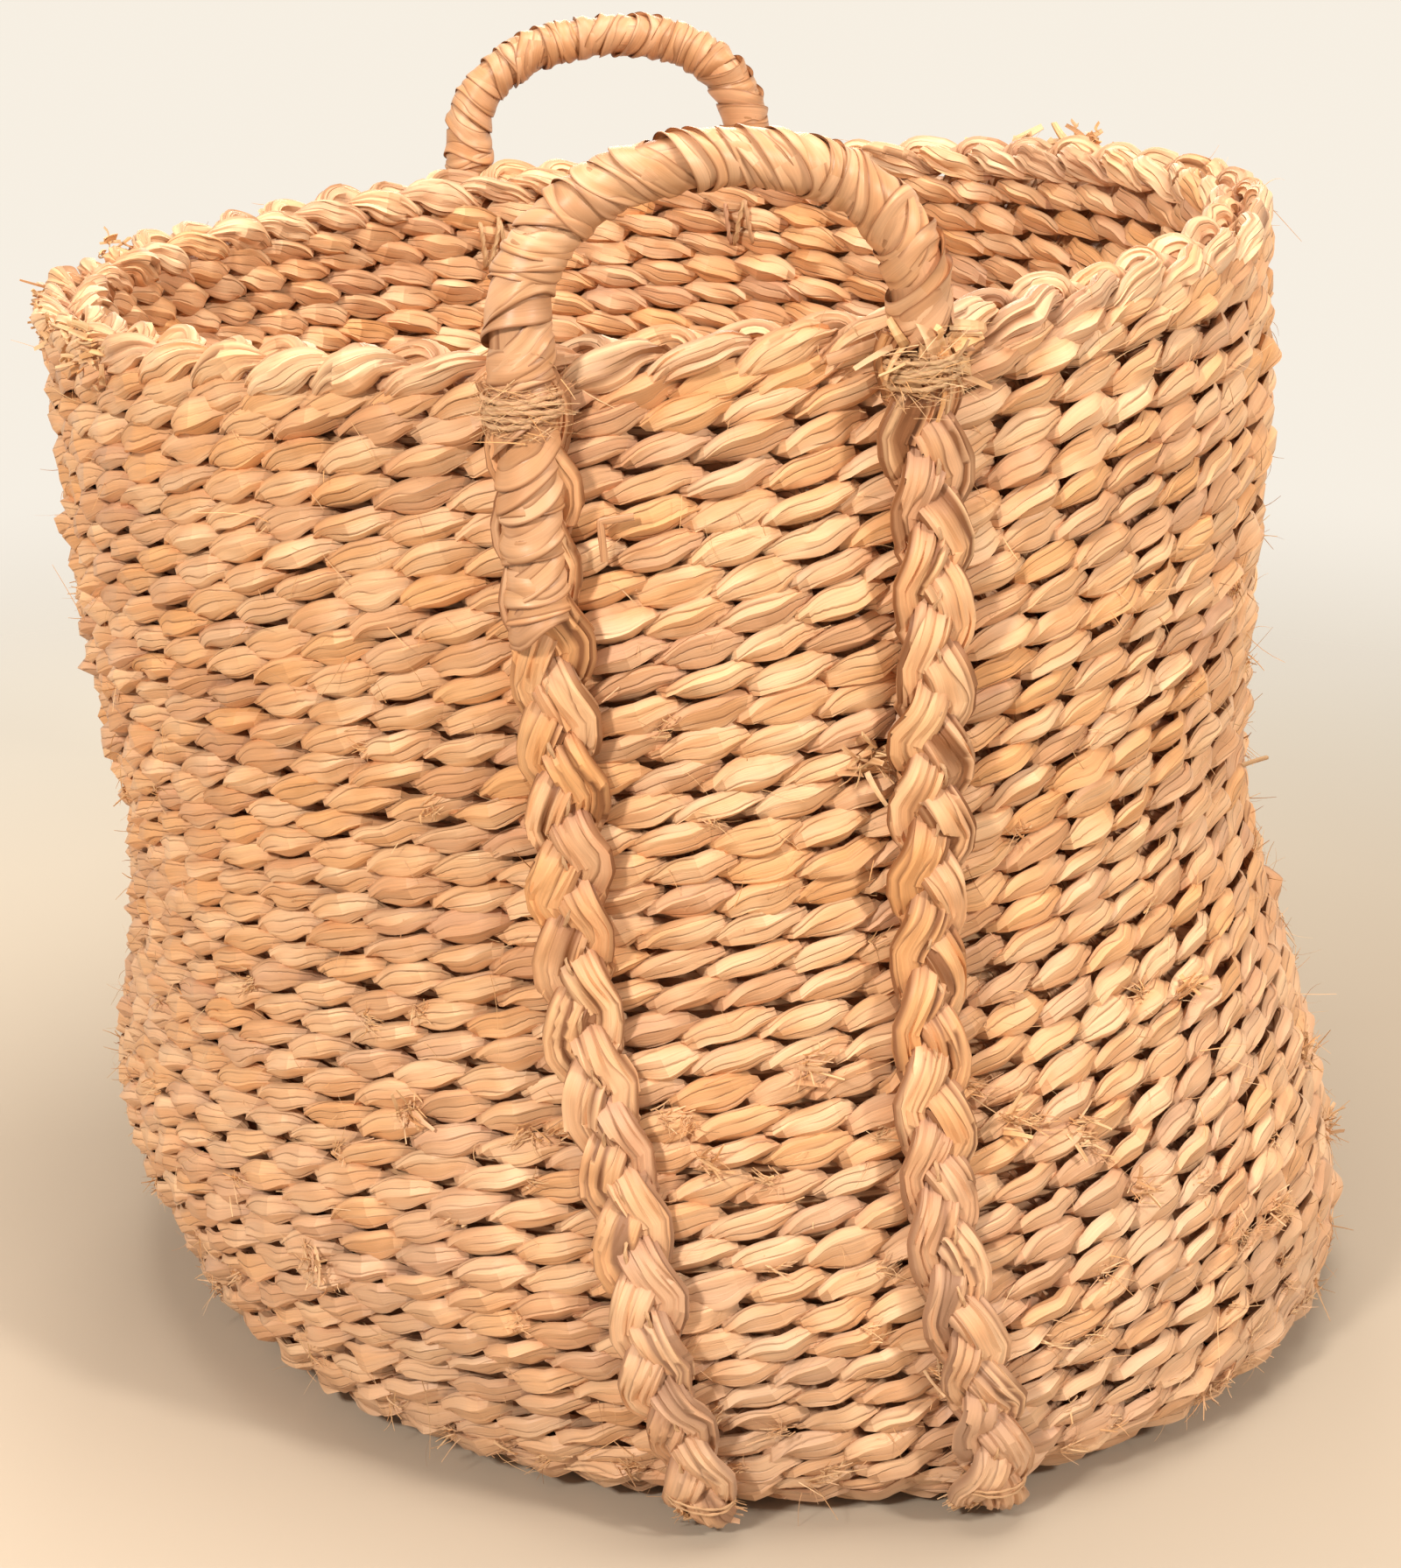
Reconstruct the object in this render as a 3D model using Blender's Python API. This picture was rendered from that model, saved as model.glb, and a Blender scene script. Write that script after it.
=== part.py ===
"""Corn husk laundry basket.

A flat three-strand husk braid is coiled face to face: out from the centre of
the base, round the heel and up the wall. A stouter braid makes the rim. Two
handle braids are sewn down the outside of the wall and wrapped with husk
ribbon where they arch over the rim. Each arch bends where it leaves the rim.

Metres, +Z up. The origin is on the floor, under the middle of the basket.
Azimuths are counted from +X, anticlockwise seen from above.
"""
import math

import bmesh
import bpy
from mathutils import Vector

# Body
BODY_HEIGHT = 0.444
RIM_HALF_WIDTH = 0.240
WALL_THICKNESS = 0.023
BRAID_THICKNESS = 0.0116
RIM_BRAID_THICKNESS = 0.0150
RIM_BRAID_WIDTH = 0.0250
HEEL_RADIUS = 0.034
BASE_LEAN = 0.0526
RIM_SET_FORWARD = 0.026
RIM_TILT = 0.0211
COURSE_GAP = 0.0006
SPLICE_GAP = 0.0006

# Body outline, as shares of the height, the rim's half width and the lean
HEIGHT_SHARES = (0.0, 0.08, 0.20, 0.35, 0.50, 0.65, 0.80, 1.0)
WIDTH_SHARES = (1.035, 1.060, 1.079, 1.018, 0.973, 0.990, 1.006, 1.0)
LEAN_SHARES = (1.0, 0.93, 0.64, 0.49, 0.30, 0.18, 0.12, 0.0)
BASE_DEPTH_SHARE = 1.078
RIM_DEPTH_SHARE = 0.993

# Coil
POINTS_PER_LOOP = 24
FIRST_LEVEL_SHARE = 0.5
LAST_LEVEL_SHARE = 0.15
CUT_GAP = 0.0005
RIM_OUTLINE_SHARES = ((0.0, 0.0), (1.0, 0.0), (1.0, 0.65), (0.75, 1.0), (0.25, 1.0), (0.0, 0.65))

# Handles
SEAT_GAP = 0.0004
ARCH_FOOT_RADIUS = 0.0105
ARCH_TOP_RADIUS = 0.0090
CORE_RADIUS = 0.0060
FIT_GAP = 0.0003
FRONT_ARCH_RISE = 0.051
BACK_ARCH_RISE = 0.046
HINGE_ABOVE_RIM = 0.006
HINGE_GAP = 0.0003
ARCH_SEGMENTS = 16
ARCH_SIDES = 10
ARCH_SQUARENESS = 2.2
SLEEVE_FOOT_ANGLE = math.radians(45.0)
CORE_NOSE_SHARE = 0.3
LEG_SIDES = 6
LEAST_BEND_SHARE = 0.25
LEG_HALF_WIDTH = 0.0110
LEG_DEPTH = 0.0110
LEG_TOP_DEPTH = 0.0180
LEG_THINNING_LENGTH = 0.025
LEG_END_ANGLE = math.radians(60.0)
WRAPPED_LEG_LENGTH = 0.085
WRAPPED_LEG_STEPS = 4
RIBBON_THICKNESS = 0.0024

# How far a leg strays sideways on its facet, from its top to its end
DRIFT_SHARES = (0.0, 0.2, 0.35, 0.5, 0.6, 0.7, 0.8, 1.0)
FIRST_LEG_DRIFT = (0.0, 0.0, 0.0035, 0.0005, 0.0015, 0.0080, 0.0125, 0.0135)
SECOND_LEG_DRIFT = (0.0, 0.0025, 0.0030, 0.0005, -0.0065, -0.0125, -0.0135, -0.0135)

# Twine and frayed ends
TWINE_THICKNESS = 0.0018
LASHING_HEIGHT = 0.010
LASHING_BELOW_LEG_TOP = 0.006
TIE_WIDTH = 0.016
TIE_OUTLINE_SHARES = ((-0.5, 0.5), (-0.3, 1.0), (0.3, 1.0), (0.5, 0.5))
BINDING_HEIGHT = 0.006
BINDING_ABOVE_LEG_END = 0.004
STITCH_RISE = 0.0010
TWINE_SEAT_GAP = 0.0005
TUFT_HALF_WIDTH = 0.0145
TUFT_SPREAD = 0.0010
TUFT_TUCK = 0.0120
TUFT_FLOOR_GAP = 0.0005

# Places of the handle legs, in facets of the coil counted from +X
FRONT_LEFT_FACET = -8
FRONT_RIGHT_FACET = -6
BACK_LEFT_FACET = 4
BACK_RIGHT_FACET = 6

# Finishes: red, green, blue, roughness
HUSK = (0.70, 0.47, 0.25, 0.62)
RIM_HUSK = (0.72, 0.50, 0.29, 0.60)
RIBBON = (0.70, 0.43, 0.21, 0.50)
LEG_HUSK = (0.66, 0.42, 0.22, 0.60)
TWINE = (0.60, 0.43, 0.25, 0.85)
FRAY = (0.68, 0.50, 0.31, 0.85)

# Mesh detail
SHARP_ANGLE = math.radians(40.0)
SLOPE_TURN = math.radians(0.5)
SLOPE_STEP = 0.1 * BRAID_THICKNESS
OUTLINE_STEPS = 60

UP = Vector((0.0, 0.0, 1.0))
FULL_TURN = 2.0 * math.pi
QUARTER_TURN = 0.5 * math.pi
FACET = FULL_TURN / POINTS_PER_LOOP


def smooth_through(places, values, place):
    """Value at a place on a smooth curve through hand-chosen points."""
    place = min(max(place, places[0]), places[-1])
    last = len(places) - 1
    k = next(i for i in range(last) if place <= places[i + 1])

    def slope(i):
        low = max(i - 1, 0)
        high = min(i + 1, last)
        return (values[high] - values[low]) / (places[high] - places[low])

    span = places[k + 1] - places[k]
    u = (place - places[k]) / span
    u2 = u * u
    u3 = u2 * u
    start = values[k] * (2.0 * u3 - 3.0 * u2 + 1.0)
    end = values[k + 1] * (3.0 * u2 - 2.0 * u3)
    slopes = slope(k) * (u3 - 2.0 * u2 + u) + slope(k + 1) * (u3 - u2)
    return start + end + span * slopes


def half_width(height):
    """Half the body's width along X at a height."""
    return RIM_HALF_WIDTH * smooth_through(HEIGHT_SHARES, WIDTH_SHARES, height / BODY_HEIGHT)


def lean(height):
    """How far the body's middle stands to +X of the rim's middle."""
    return BASE_LEAN * smooth_through(HEIGHT_SHARES, LEAN_SHARES, height / BODY_HEIGHT)


def depth_share(height):
    """The body's depth along Y as a share of its width."""
    return BASE_DEPTH_SHARE + (RIM_DEPTH_SHARE - BASE_DEPTH_SHARE) * height / BODY_HEIGHT


# The outline as a walk: along the floor, round the heel, up the wall
HEEL_REACH = half_width(HEEL_RADIUS)
FLAT_REACH = HEEL_REACH - HEEL_RADIUS
HEEL_LENGTH = HEEL_RADIUS * QUARTER_TURN
WALL_START = FLAT_REACH + HEEL_LENGTH
WALL_LENGTH = BODY_HEIGHT - RIM_BRAID_THICKNESS - HEEL_RADIUS
BASE_COURSES = round(FLAT_REACH / BRAID_THICKNESS)
HEEL_COURSES = round(HEEL_LENGTH / BRAID_THICKNESS)
WALL_COURSES = round(WALL_LENGTH / BRAID_THICKNESS)
TOP_LEVEL = BASE_COURSES + HEEL_COURSES + WALL_COURSES
RIM_WALK = WALL_START + BODY_HEIGHT - HEEL_RADIUS


def walk_of_level(level):
    """Distance along the outline, from the base's centre, of a course's lower edge."""
    if level <= BASE_COURSES:
        return FLAT_REACH * level / BASE_COURSES
    above = level - BASE_COURSES
    if above <= HEEL_COURSES:
        return FLAT_REACH + HEEL_LENGTH * above / HEEL_COURSES
    return WALL_START + WALL_LENGTH * (above - HEEL_COURSES) / WALL_COURSES


def reach_and_height(walk):
    """Outline point at a walk: how far it reaches along X and how high it is."""
    if walk <= FLAT_REACH:
        return walk, 0.0
    if walk <= WALL_START:
        angle = (walk - FLAT_REACH) / HEEL_RADIUS
        return FLAT_REACH + HEEL_RADIUS * math.sin(angle), HEEL_RADIUS * (1.0 - math.cos(angle))
    height = HEEL_RADIUS + walk - WALL_START
    return half_width(height), height


def middle_shift():
    """Shift that puts the origin under the middle of the whole basket."""
    sides = []
    fronts = []
    for k in range(OUTLINE_STEPS + 1):
        share = k / OUTLINE_STEPS
        reach, height = reach_and_height(WALL_START + (RIM_WALK - WALL_START) * share)
        set_forward = RIM_SET_FORWARD * height / BODY_HEIGHT
        sides += [lean(height) + reach, lean(height) - reach]
        fronts += [reach * depth_share(height) - set_forward]
        fronts += [-reach * depth_share(height) - set_forward]
    return -0.5 * (max(sides) + min(sides)), -0.5 * (max(fronts) + min(fronts))


SHIFT_X, SHIFT_Y = middle_shift()


def outer_point(walk, azimuth):
    """Point of the body's outer surface."""
    reach, height = reach_and_height(walk)
    share = height / BODY_HEIGHT
    x = SHIFT_X + lean(height) + reach * math.cos(azimuth)
    y = SHIFT_Y - RIM_SET_FORWARD * share + reach * depth_share(height) * math.sin(azimuth)
    z = height + RIM_TILT * share * math.cos(azimuth)
    return Vector((x, y, z))


def surface_frame(walk, azimuth):
    """Outer point with its directions: along the course, outwards and up the outline."""
    along = outer_point(walk, azimuth + SLOPE_TURN) - outer_point(walk, azimuth - SLOPE_TURN)
    climb = outer_point(walk + SLOPE_STEP, azimuth) - outer_point(walk - SLOPE_STEP, azimuth)
    climb.normalize()
    out = along.cross(climb).normalized()
    return outer_point(walk, azimuth), climb.cross(out).normalized() * -1.0, out, climb


def facet_azimuth(facet):
    """Azimuth of the middle of one of the coil's facets."""
    return (facet + 0.5) * FACET


def facet_frame(walk, facet):
    """As surface_frame, in the middle of a flat facet, where a handle leg lies."""
    first = facet * FACET
    last = first + FACET

    def middle(at):
        return 0.5 * (outer_point(at, first) + outer_point(at, last))

    along = (outer_point(walk, last) - outer_point(walk, first)).normalized()
    climb = (middle(walk + SLOPE_STEP) - middle(walk - SLOPE_STEP)).normalized()
    out = along.cross(climb).normalized()
    return middle(walk), along, out, climb


# Mesh helpers
def finish_mesh(name, mesh_data, finish):
    """Put a bmesh into the scene as one named object with its own finish."""
    bmesh.ops.recalc_face_normals(mesh_data, faces=mesh_data.faces)
    mesh = bpy.data.meshes.new(name)
    mesh_data.to_mesh(mesh)
    mesh_data.free()
    mesh.shade_smooth()
    mesh.set_sharp_from_angle(angle=SHARP_ANGLE)
    material = bpy.data.materials.new(name + "_finish")
    material.use_nodes = True
    shader = material.node_tree.nodes["Principled BSDF"]
    shader.inputs["Base Color"].default_value = (*finish[:3], 1.0)
    shader.inputs["Roughness"].default_value = finish[3]
    shader.inputs["Metallic"].default_value = 0.0
    mesh.materials.append(material)
    part = bpy.data.objects.new(name, mesh)
    bpy.context.collection.objects.link(part)
    return part


def add_loft(mesh_data, rings, closed=False):
    """Join rings of points into one body, with flat caps or, if closed, end to end.

    Quads are split so that the upper and lower faces of a four-sided ring match.
    """
    loops = [[mesh_data.verts.new(point) for point in ring] for ring in rings]
    pairs = list(zip(loops, loops[1:]))
    if closed:
        pairs.append((loops[-1], loops[0]))
    for low, high in pairs:
        count = len(low)
        for k in range(count):
            n = (k + 1) % count
            if k // 2 % 2:
                mesh_data.faces.new((low[k], low[n], high[k]))
                mesh_data.faces.new((low[n], high[n], high[k]))
            else:
                mesh_data.faces.new((low[k], low[n], high[n]))
                mesh_data.faces.new((low[k], high[n], high[k]))
    if not closed:
        mesh_data.faces.new(list(reversed(loops[0])))
        mesh_data.faces.new(loops[-1])


def move_origin(part, place):
    """Put a moving piece's origin on its joint's axis without moving the piece."""
    for vertex in part.data.vertices:
        vertex.co -= place
    part.location = place


# Coil
def course_ring(turn, low_walk, high_walk, thickness):
    """Cross-section of the braid at a turn: outer low, inner low, inner high, outer high."""
    azimuth = turn * FULL_TURN
    low, _, low_out, low_climb = surface_frame(low_walk, azimuth)
    high, _, high_out, high_climb = surface_frame(high_walk, azimuth)
    low = low + low_climb * (0.5 * COURSE_GAP)
    high = high - high_climb * (0.5 * COURSE_GAP)
    return [low, low - low_out * thickness, high - high_out * thickness, high]


def spiral_turns(first, last):
    """Turns at which the coil has a cross-section, at the same azimuths in every loop."""
    start = math.floor(first * POINTS_PER_LOOP) + 1
    end = math.ceil(last * POINTS_PER_LOOP) - 1
    inner = [k / POINTS_PER_LOOP for k in range(start, end + 1)]
    return [first] + inner + [last]


def coil_rings(first, last):
    """Cross-sections of the coiled braid from one turn to another."""
    rings = []
    for turn in spiral_turns(first, last):
        low_walk = walk_of_level(turn)
        high_walk = walk_of_level(min(turn + 1.0, TOP_LEVEL))
        rings.append(course_ring(turn, low_walk, high_walk, WALL_THICKNESS))
    return rings


def middle_of(*points):
    """Mean of some points."""
    return sum(points, Vector()) / len(points)


def least_gap(rings):
    """Least distance between one loop's upper edges and the next loop's lower edges."""
    least = math.inf
    for k in range(1, len(rings) - POINTS_PER_LOOP - 2):
        upper = rings[k]
        lower = rings[k + POINTS_PER_LOOP]
        for high, low in ((upper[3], lower[0]), (upper[2], lower[1])):
            least = min(least, (high - low).length)
        next_upper = rings[k + 1]
        next_lower = rings[k + 1 + POINTS_PER_LOOP]
        high = middle_of(upper[2], upper[3], next_upper[2], next_upper[3])
        low = middle_of(lower[0], lower[1], next_lower[0], next_lower[1])
        least = min(least, (high - low).length)
    return least


def coil_piece(name, first, last, finish):
    """One stretch of the coiled braid as its own solid."""
    rings = coil_rings(first, last)
    mesh_data = bmesh.new()
    add_loft(mesh_data, rings)
    part = finish_mesh(name, mesh_data, finish)
    if len(rings) > 2 * POINTS_PER_LOOP:
        print(name, "least gap between loops, mm:", round(1000.0 * least_gap(rings), 3))
    return part


def turn_after(level):
    """The turn where the next stretch starts, a cut's width further along the braid."""
    reach, _ = reach_and_height(walk_of_level(level))
    return level + CUT_GAP / (FULL_TURN * reach)


def rim_course():
    """The stouter top braid, one loop whose ends meet at a splice."""
    foot = RIM_WALK - RIM_BRAID_THICKNESS + 0.5 * COURSE_GAP
    rise = RIM_BRAID_THICKNESS - 0.5 * COURSE_GAP
    splice = SPLICE_GAP / (FULL_TURN * RIM_HALF_WIDTH)
    rings = []
    for turn in spiral_turns(splice, 1.0):
        place, _, out, climb = surface_frame(foot, turn * FULL_TURN)
        rings.append([place - out * (RIM_BRAID_WIDTH * across) + climb * (rise * up)
                      for across, up in RIM_OUTLINE_SHARES])
    mesh_data = bmesh.new()
    add_loft(mesh_data, rings)
    return finish_mesh("coil_rim_course", mesh_data, RIM_HUSK)


# Handle legs
def leg_section(frame, half, depth, set_off):
    """Flat-backed, round-fronted cross-section, its back a set-off from the wall."""
    place, along, out, _ = frame
    ring = []
    for k in range(LEG_SIDES + 1):
        angle = math.pi * k / LEG_SIDES
        ring.append(place + along * (half * math.cos(angle))
                    + out * (set_off + depth * math.sin(angle)))
    return ring


def leg_walks(facet, low_walk, high_walk):
    """Walks at which a leg bends, as the wall under it does: once for each course."""
    share = facet_azimuth(facet) / FULL_TURN
    seams = [walk_of_level(loop + share) for loop in range(1, TOP_LEVEL)]
    least = LEAST_BEND_SHARE * BRAID_THICKNESS
    low = low_walk + least
    high = high_walk - LEG_THINNING_LENGTH - least
    return [low_walk] + [walk for walk in seams if low < walk < high]


LEG_TOP_WALK = RIM_WALK + HINGE_ABOVE_RIM - ARCH_FOOT_RADIUS - HINGE_GAP
LEG_END_WALK = FLAT_REACH + HEEL_RADIUS * LEG_END_ANGLE
WRAP_END_WALK = LEG_TOP_WALK - WRAPPED_LEG_LENGTH
LASHING_WALK = LEG_TOP_WALK - LASHING_BELOW_LEG_TOP - 0.5 * LASHING_HEIGHT
LEG_DRIFTS = {
    FRONT_LEFT_FACET: FIRST_LEG_DRIFT,
    FRONT_RIGHT_FACET: SECOND_LEG_DRIFT,
    BACK_LEFT_FACET: FIRST_LEG_DRIFT,
    BACK_RIGHT_FACET: SECOND_LEG_DRIFT,
}


def leg_frame(walk, facet):
    """As facet_frame, moved sideways to where the leg lies: a pair of legs draws together."""
    place, along, out, climb = facet_frame(walk, facet)
    share = (LEG_TOP_WALK - walk) / (LEG_TOP_WALK - LEG_END_WALK)
    drift = smooth_through(DRIFT_SHARES, LEG_DRIFTS[facet], share)
    return place + along * drift, along, out, climb


def even_leg_walks(facet, top_walk):
    """The walks of a leg's sections up to where it thickens."""
    return leg_walks(facet, LEG_END_WALK, top_walk) + [top_walk - LEG_THINNING_LENGTH]


def braid_leg(name, facet, top_walk, top_depth):
    """Bare braid down the wall to its frayed end, deeper at its top where it is gathered."""
    rings = [leg_section(leg_frame(walk, facet), LEG_HALF_WIDTH, LEG_DEPTH, SEAT_GAP)
             for walk in even_leg_walks(facet, top_walk)]
    rings.append(leg_section(leg_frame(top_walk, facet), LEG_HALF_WIDTH, top_depth, SEAT_GAP))
    mesh_data = bmesh.new()
    add_loft(mesh_data, rings)
    return finish_mesh(name, mesh_data, LEG_HUSK)


def wrapped_leg(wrap_name, core_name, facet):
    """The part of a leg that is wrapped with husk ribbon, and the braid inside it."""
    shares = [k / WRAPPED_LEG_STEPS for k in range(WRAPPED_LEG_STEPS + 1)]
    walks = [WRAP_END_WALK + (LEG_TOP_WALK - WRAP_END_WALK) * share for share in shares]
    frames = [leg_frame(walk, facet) for walk in walks]
    bore_half = LEG_HALF_WIDTH - RIBBON_THICKNESS
    bore_depth = LEG_TOP_DEPTH - 2.0 * RIBBON_THICKNESS
    bore_back = SEAT_GAP + RIBBON_THICKNESS
    outer = [leg_section(frame, LEG_HALF_WIDTH, LEG_TOP_DEPTH, SEAT_GAP) for frame in frames]
    bore = [leg_section(frame, bore_half, bore_depth, bore_back) for frame in frames]
    mesh_data = bmesh.new()
    add_loft(mesh_data, outer + list(reversed(bore)), closed=True)
    finish_mesh(wrap_name, mesh_data, RIBBON)
    core = [leg_section(frame, bore_half - 2.0 * FIT_GAP, bore_depth - 2.0 * FIT_GAP,
                        bore_back + FIT_GAP) for frame in frames]
    mesh_data = bmesh.new()
    add_loft(mesh_data, core)
    finish_mesh(core_name, mesh_data, LEG_HUSK)


# Twine and frayed ends
def band_round_leg(mesh_data, facet, walk, height, half, depth):
    """A band of twine over a leg, from wall to wall."""
    inner_half = half + FIT_GAP
    inner_depth = depth + FIT_GAP
    rings = []
    for end in (-0.5, 0.5):
        frame = leg_frame(walk + end * height, facet)
        inner = leg_section(frame, inner_half, inner_depth, SEAT_GAP)
        outer = leg_section(frame, inner_half + TWINE_THICKNESS, inner_depth + TWINE_THICKNESS,
                            SEAT_GAP)
        rings.append(inner + list(reversed(outer)))
    low, high = rings
    count = len(low) // 2
    low_verts = [mesh_data.verts.new(point) for point in low]
    high_verts = [mesh_data.verts.new(point) for point in high]
    total = len(low)
    for k in range(total):
        n = (k + 1) % total
        mesh_data.faces.new((low_verts[k], low_verts[n], high_verts[n], high_verts[k]))
    for k in range(count - 1):
        far = total - 1 - k
        for verts in (low_verts, high_verts):
            mesh_data.faces.new((verts[k], verts[k + 1], verts[far - 1], verts[far]))


def inside_tie(name, facet):
    """The lashing's twine where it shows on the inside of the wall."""
    walk = LASHING_WALK - RIM_BRAID_THICKNESS
    place, along, out, climb = leg_frame(walk, facet)
    back = place - out * (WALL_THICKNESS + SEAT_GAP)
    rings = []
    for side, fullness in TIE_OUTLINE_SHARES:
        lift = TWINE_THICKNESS * fullness
        middle = back + along * (TIE_WIDTH * side)
        foot = middle - climb * (0.5 * LASHING_HEIGHT)
        head = middle + climb * (0.5 * LASHING_HEIGHT)
        rings.append([foot, head, head - out * lift, foot - out * lift])
    mesh_data = bmesh.new()
    add_loft(mesh_data, rings)
    return finish_mesh(name, mesh_data, TWINE)


def rim_lashing(name, facet, depth):
    """Twine that lashes a leg to the wall just under the rim."""
    mesh_data = bmesh.new()
    band_round_leg(mesh_data, facet, LASHING_WALK, LASHING_HEIGHT, LEG_HALF_WIDTH, depth)
    return finish_mesh(name, mesh_data, TWINE)


def leg_twine(name, facet, low_walk, top_walk):
    """The twine that sews a leg to the wall, running down the middle of its braid."""
    walks = [walk for walk in even_leg_walks(facet, top_walk) if walk > low_walk]
    frames = [leg_frame(walk, facet) for walk in walks]
    crowns = [place + out * (SEAT_GAP + LEG_DEPTH + TWINE_SEAT_GAP) for place, _, out, _ in frames]
    rings = []
    for k, (_, along, out, _) in enumerate(frames):
        side = along * (0.5 * TWINE_THICKNESS)
        lift = out * TWINE_THICKNESS
        face = crowns[k] + out * (STITCH_RISE if k % 2 else 0.0)
        rings.append([face - side, face + side, face + side + lift, face - side + lift])
    mesh_data = bmesh.new()
    add_loft(mesh_data, rings)
    return finish_mesh(name, mesh_data, TWINE)


def foot_binding(name, facet):
    """Twine bound round a leg just above its frayed end."""
    walk = LEG_END_WALK + BINDING_ABOVE_LEG_END + 0.5 * BINDING_HEIGHT
    mesh_data = bmesh.new()
    band_round_leg(mesh_data, facet, walk, BINDING_HEIGHT, LEG_HALF_WIDTH, LEG_DEPTH)
    return finish_mesh(name, mesh_data, TWINE)


def frayed_tuft(name, facet):
    """The leg's loose husk ends, spread on the floor."""
    frame = leg_frame(LEG_END_WALK, facet)
    _, along, out, climb = frame
    top = [point - climb * FIT_GAP
           for point in leg_section(frame, LEG_HALF_WIDTH, LEG_DEPTH, SEAT_GAP)]
    level_out = Vector((out.x, out.y, 0.0)).normalized()
    heel = leg_frame(WALL_START, facet)[0]
    floor = Vector((heel.x, heel.y, TUFT_FLOOR_GAP))
    depth = TUFT_TUCK + TUFT_SPREAD
    foot = leg_section((floor - level_out * TUFT_TUCK, along, level_out, climb),
                       TUFT_HALF_WIDTH, depth, 0.0)
    mesh_data = bmesh.new()
    add_loft(mesh_data, [foot, top])
    return finish_mesh(name, mesh_data, FRAY)


# Handle arches
def arch_path(left_facet, right_facet, rise):
    """Centre line of an arch with its radii, from below the left foot to below the right."""
    feet = []
    for facet in (left_facet, right_facet):
        place, _, out, _ = facet_frame(RIM_WALK, facet)
        feet.append(place + out * (SEAT_GAP + ARCH_FOOT_RADIUS) + UP * HINGE_ABOVE_RIM)
    left, right = feet
    axis = (right - left).normalized()
    across = axis.cross(UP).normalized()
    rising = across.cross(axis).normalized()
    middle = 0.5 * (left + right)
    half_span = 0.5 * (right - left).length
    points = []
    for k in range(ARCH_SEGMENTS + 1):
        angle = math.pi * (1.0 - k / ARCH_SEGMENTS)
        power = 2.0 / ARCH_SQUARENESS
        side = math.copysign(abs(math.cos(angle)) ** power, math.cos(angle))
        up = abs(math.sin(angle)) ** power
        radius = ARCH_FOOT_RADIUS + (ARCH_TOP_RADIUS - ARCH_FOOT_RADIUS) * up
        points.append((middle + axis * (half_span * side) + rising * (rise * up), radius))
    return points, left, axis, across, rising


def arch_rings(points, across, radii):
    """Round cross-sections along a centre line that lies in one plane."""
    rings = []
    last = len(points) - 1
    for k, point in enumerate(points):
        ahead = points[min(k + 1, last)] - points[max(k - 1, 0)]
        outward = ahead.cross(across).normalized()
        ring = []
        for j in range(ARCH_SIDES):
            angle = FULL_TURN * (j + 0.5) / ARCH_SIDES
            ring.append(point + outward * (radii[k] * math.cos(angle))
                        + across * (radii[k] * math.sin(angle)))
        rings.append(ring)
    return rings


def arch(name, left_facet, right_facet, rise):
    """The wrapped arch of a handle: the ribbon as a sleeve and the braid inside it."""
    path, left, axis, across, rising = arch_path(left_facet, right_facet, rise)
    points = [point for point, _ in path]
    sleeve_drop = ARCH_FOOT_RADIUS * math.sin(SLEEVE_FOOT_ANGLE)
    half_drop = ARCH_FOOT_RADIUS * math.sin(0.5 * SLEEVE_FOOT_ANGLE)

    def ball_radius(drop):
        return math.sqrt(ARCH_FOOT_RADIUS ** 2 - drop ** 2)

    start, end = points[0], points[-1]
    sleeve_points = [start - rising * sleeve_drop, start - rising * half_drop] + points
    sleeve_points += [end - rising * half_drop, end - rising * sleeve_drop]
    ends = [ball_radius(sleeve_drop), ball_radius(half_drop)]
    sleeve_radii = ends + [radius for _, radius in path] + list(reversed(ends))
    outer = arch_rings(sleeve_points, across, sleeve_radii)
    bore = arch_rings(sleeve_points, across, [CORE_RADIUS + FIT_GAP] * len(sleeve_points))
    mesh_data = bmesh.new()
    add_loft(mesh_data, outer + list(reversed(bore)), closed=True)
    sleeve = finish_mesh(name + "_arch_wrap", mesh_data, RIBBON)

    shoulder = math.sqrt(ARCH_FOOT_RADIUS ** 2 - CORE_RADIUS ** 2)
    nose_radius = CORE_NOSE_SHARE * CORE_RADIUS
    nose = math.sqrt(ARCH_FOOT_RADIUS ** 2 - nose_radius ** 2)
    core_points = [start - rising * nose, start - rising * shoulder] + points
    core_points += [end - rising * shoulder, end - rising * nose]
    core_radii = [nose_radius] + [CORE_RADIUS] * (len(points) + 2) + [nose_radius]
    mesh_data = bmesh.new()
    add_loft(mesh_data, arch_rings(core_points, across, core_radii))
    core = finish_mesh(name + "_arch_core", mesh_data, LEG_HUSK)
    for part in (sleeve, core):
        move_origin(part, left)
    print(name, "hinge point", tuple(round(v, 5) for v in left),
          "axis", tuple(round(v, 6) for v in axis))


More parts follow.
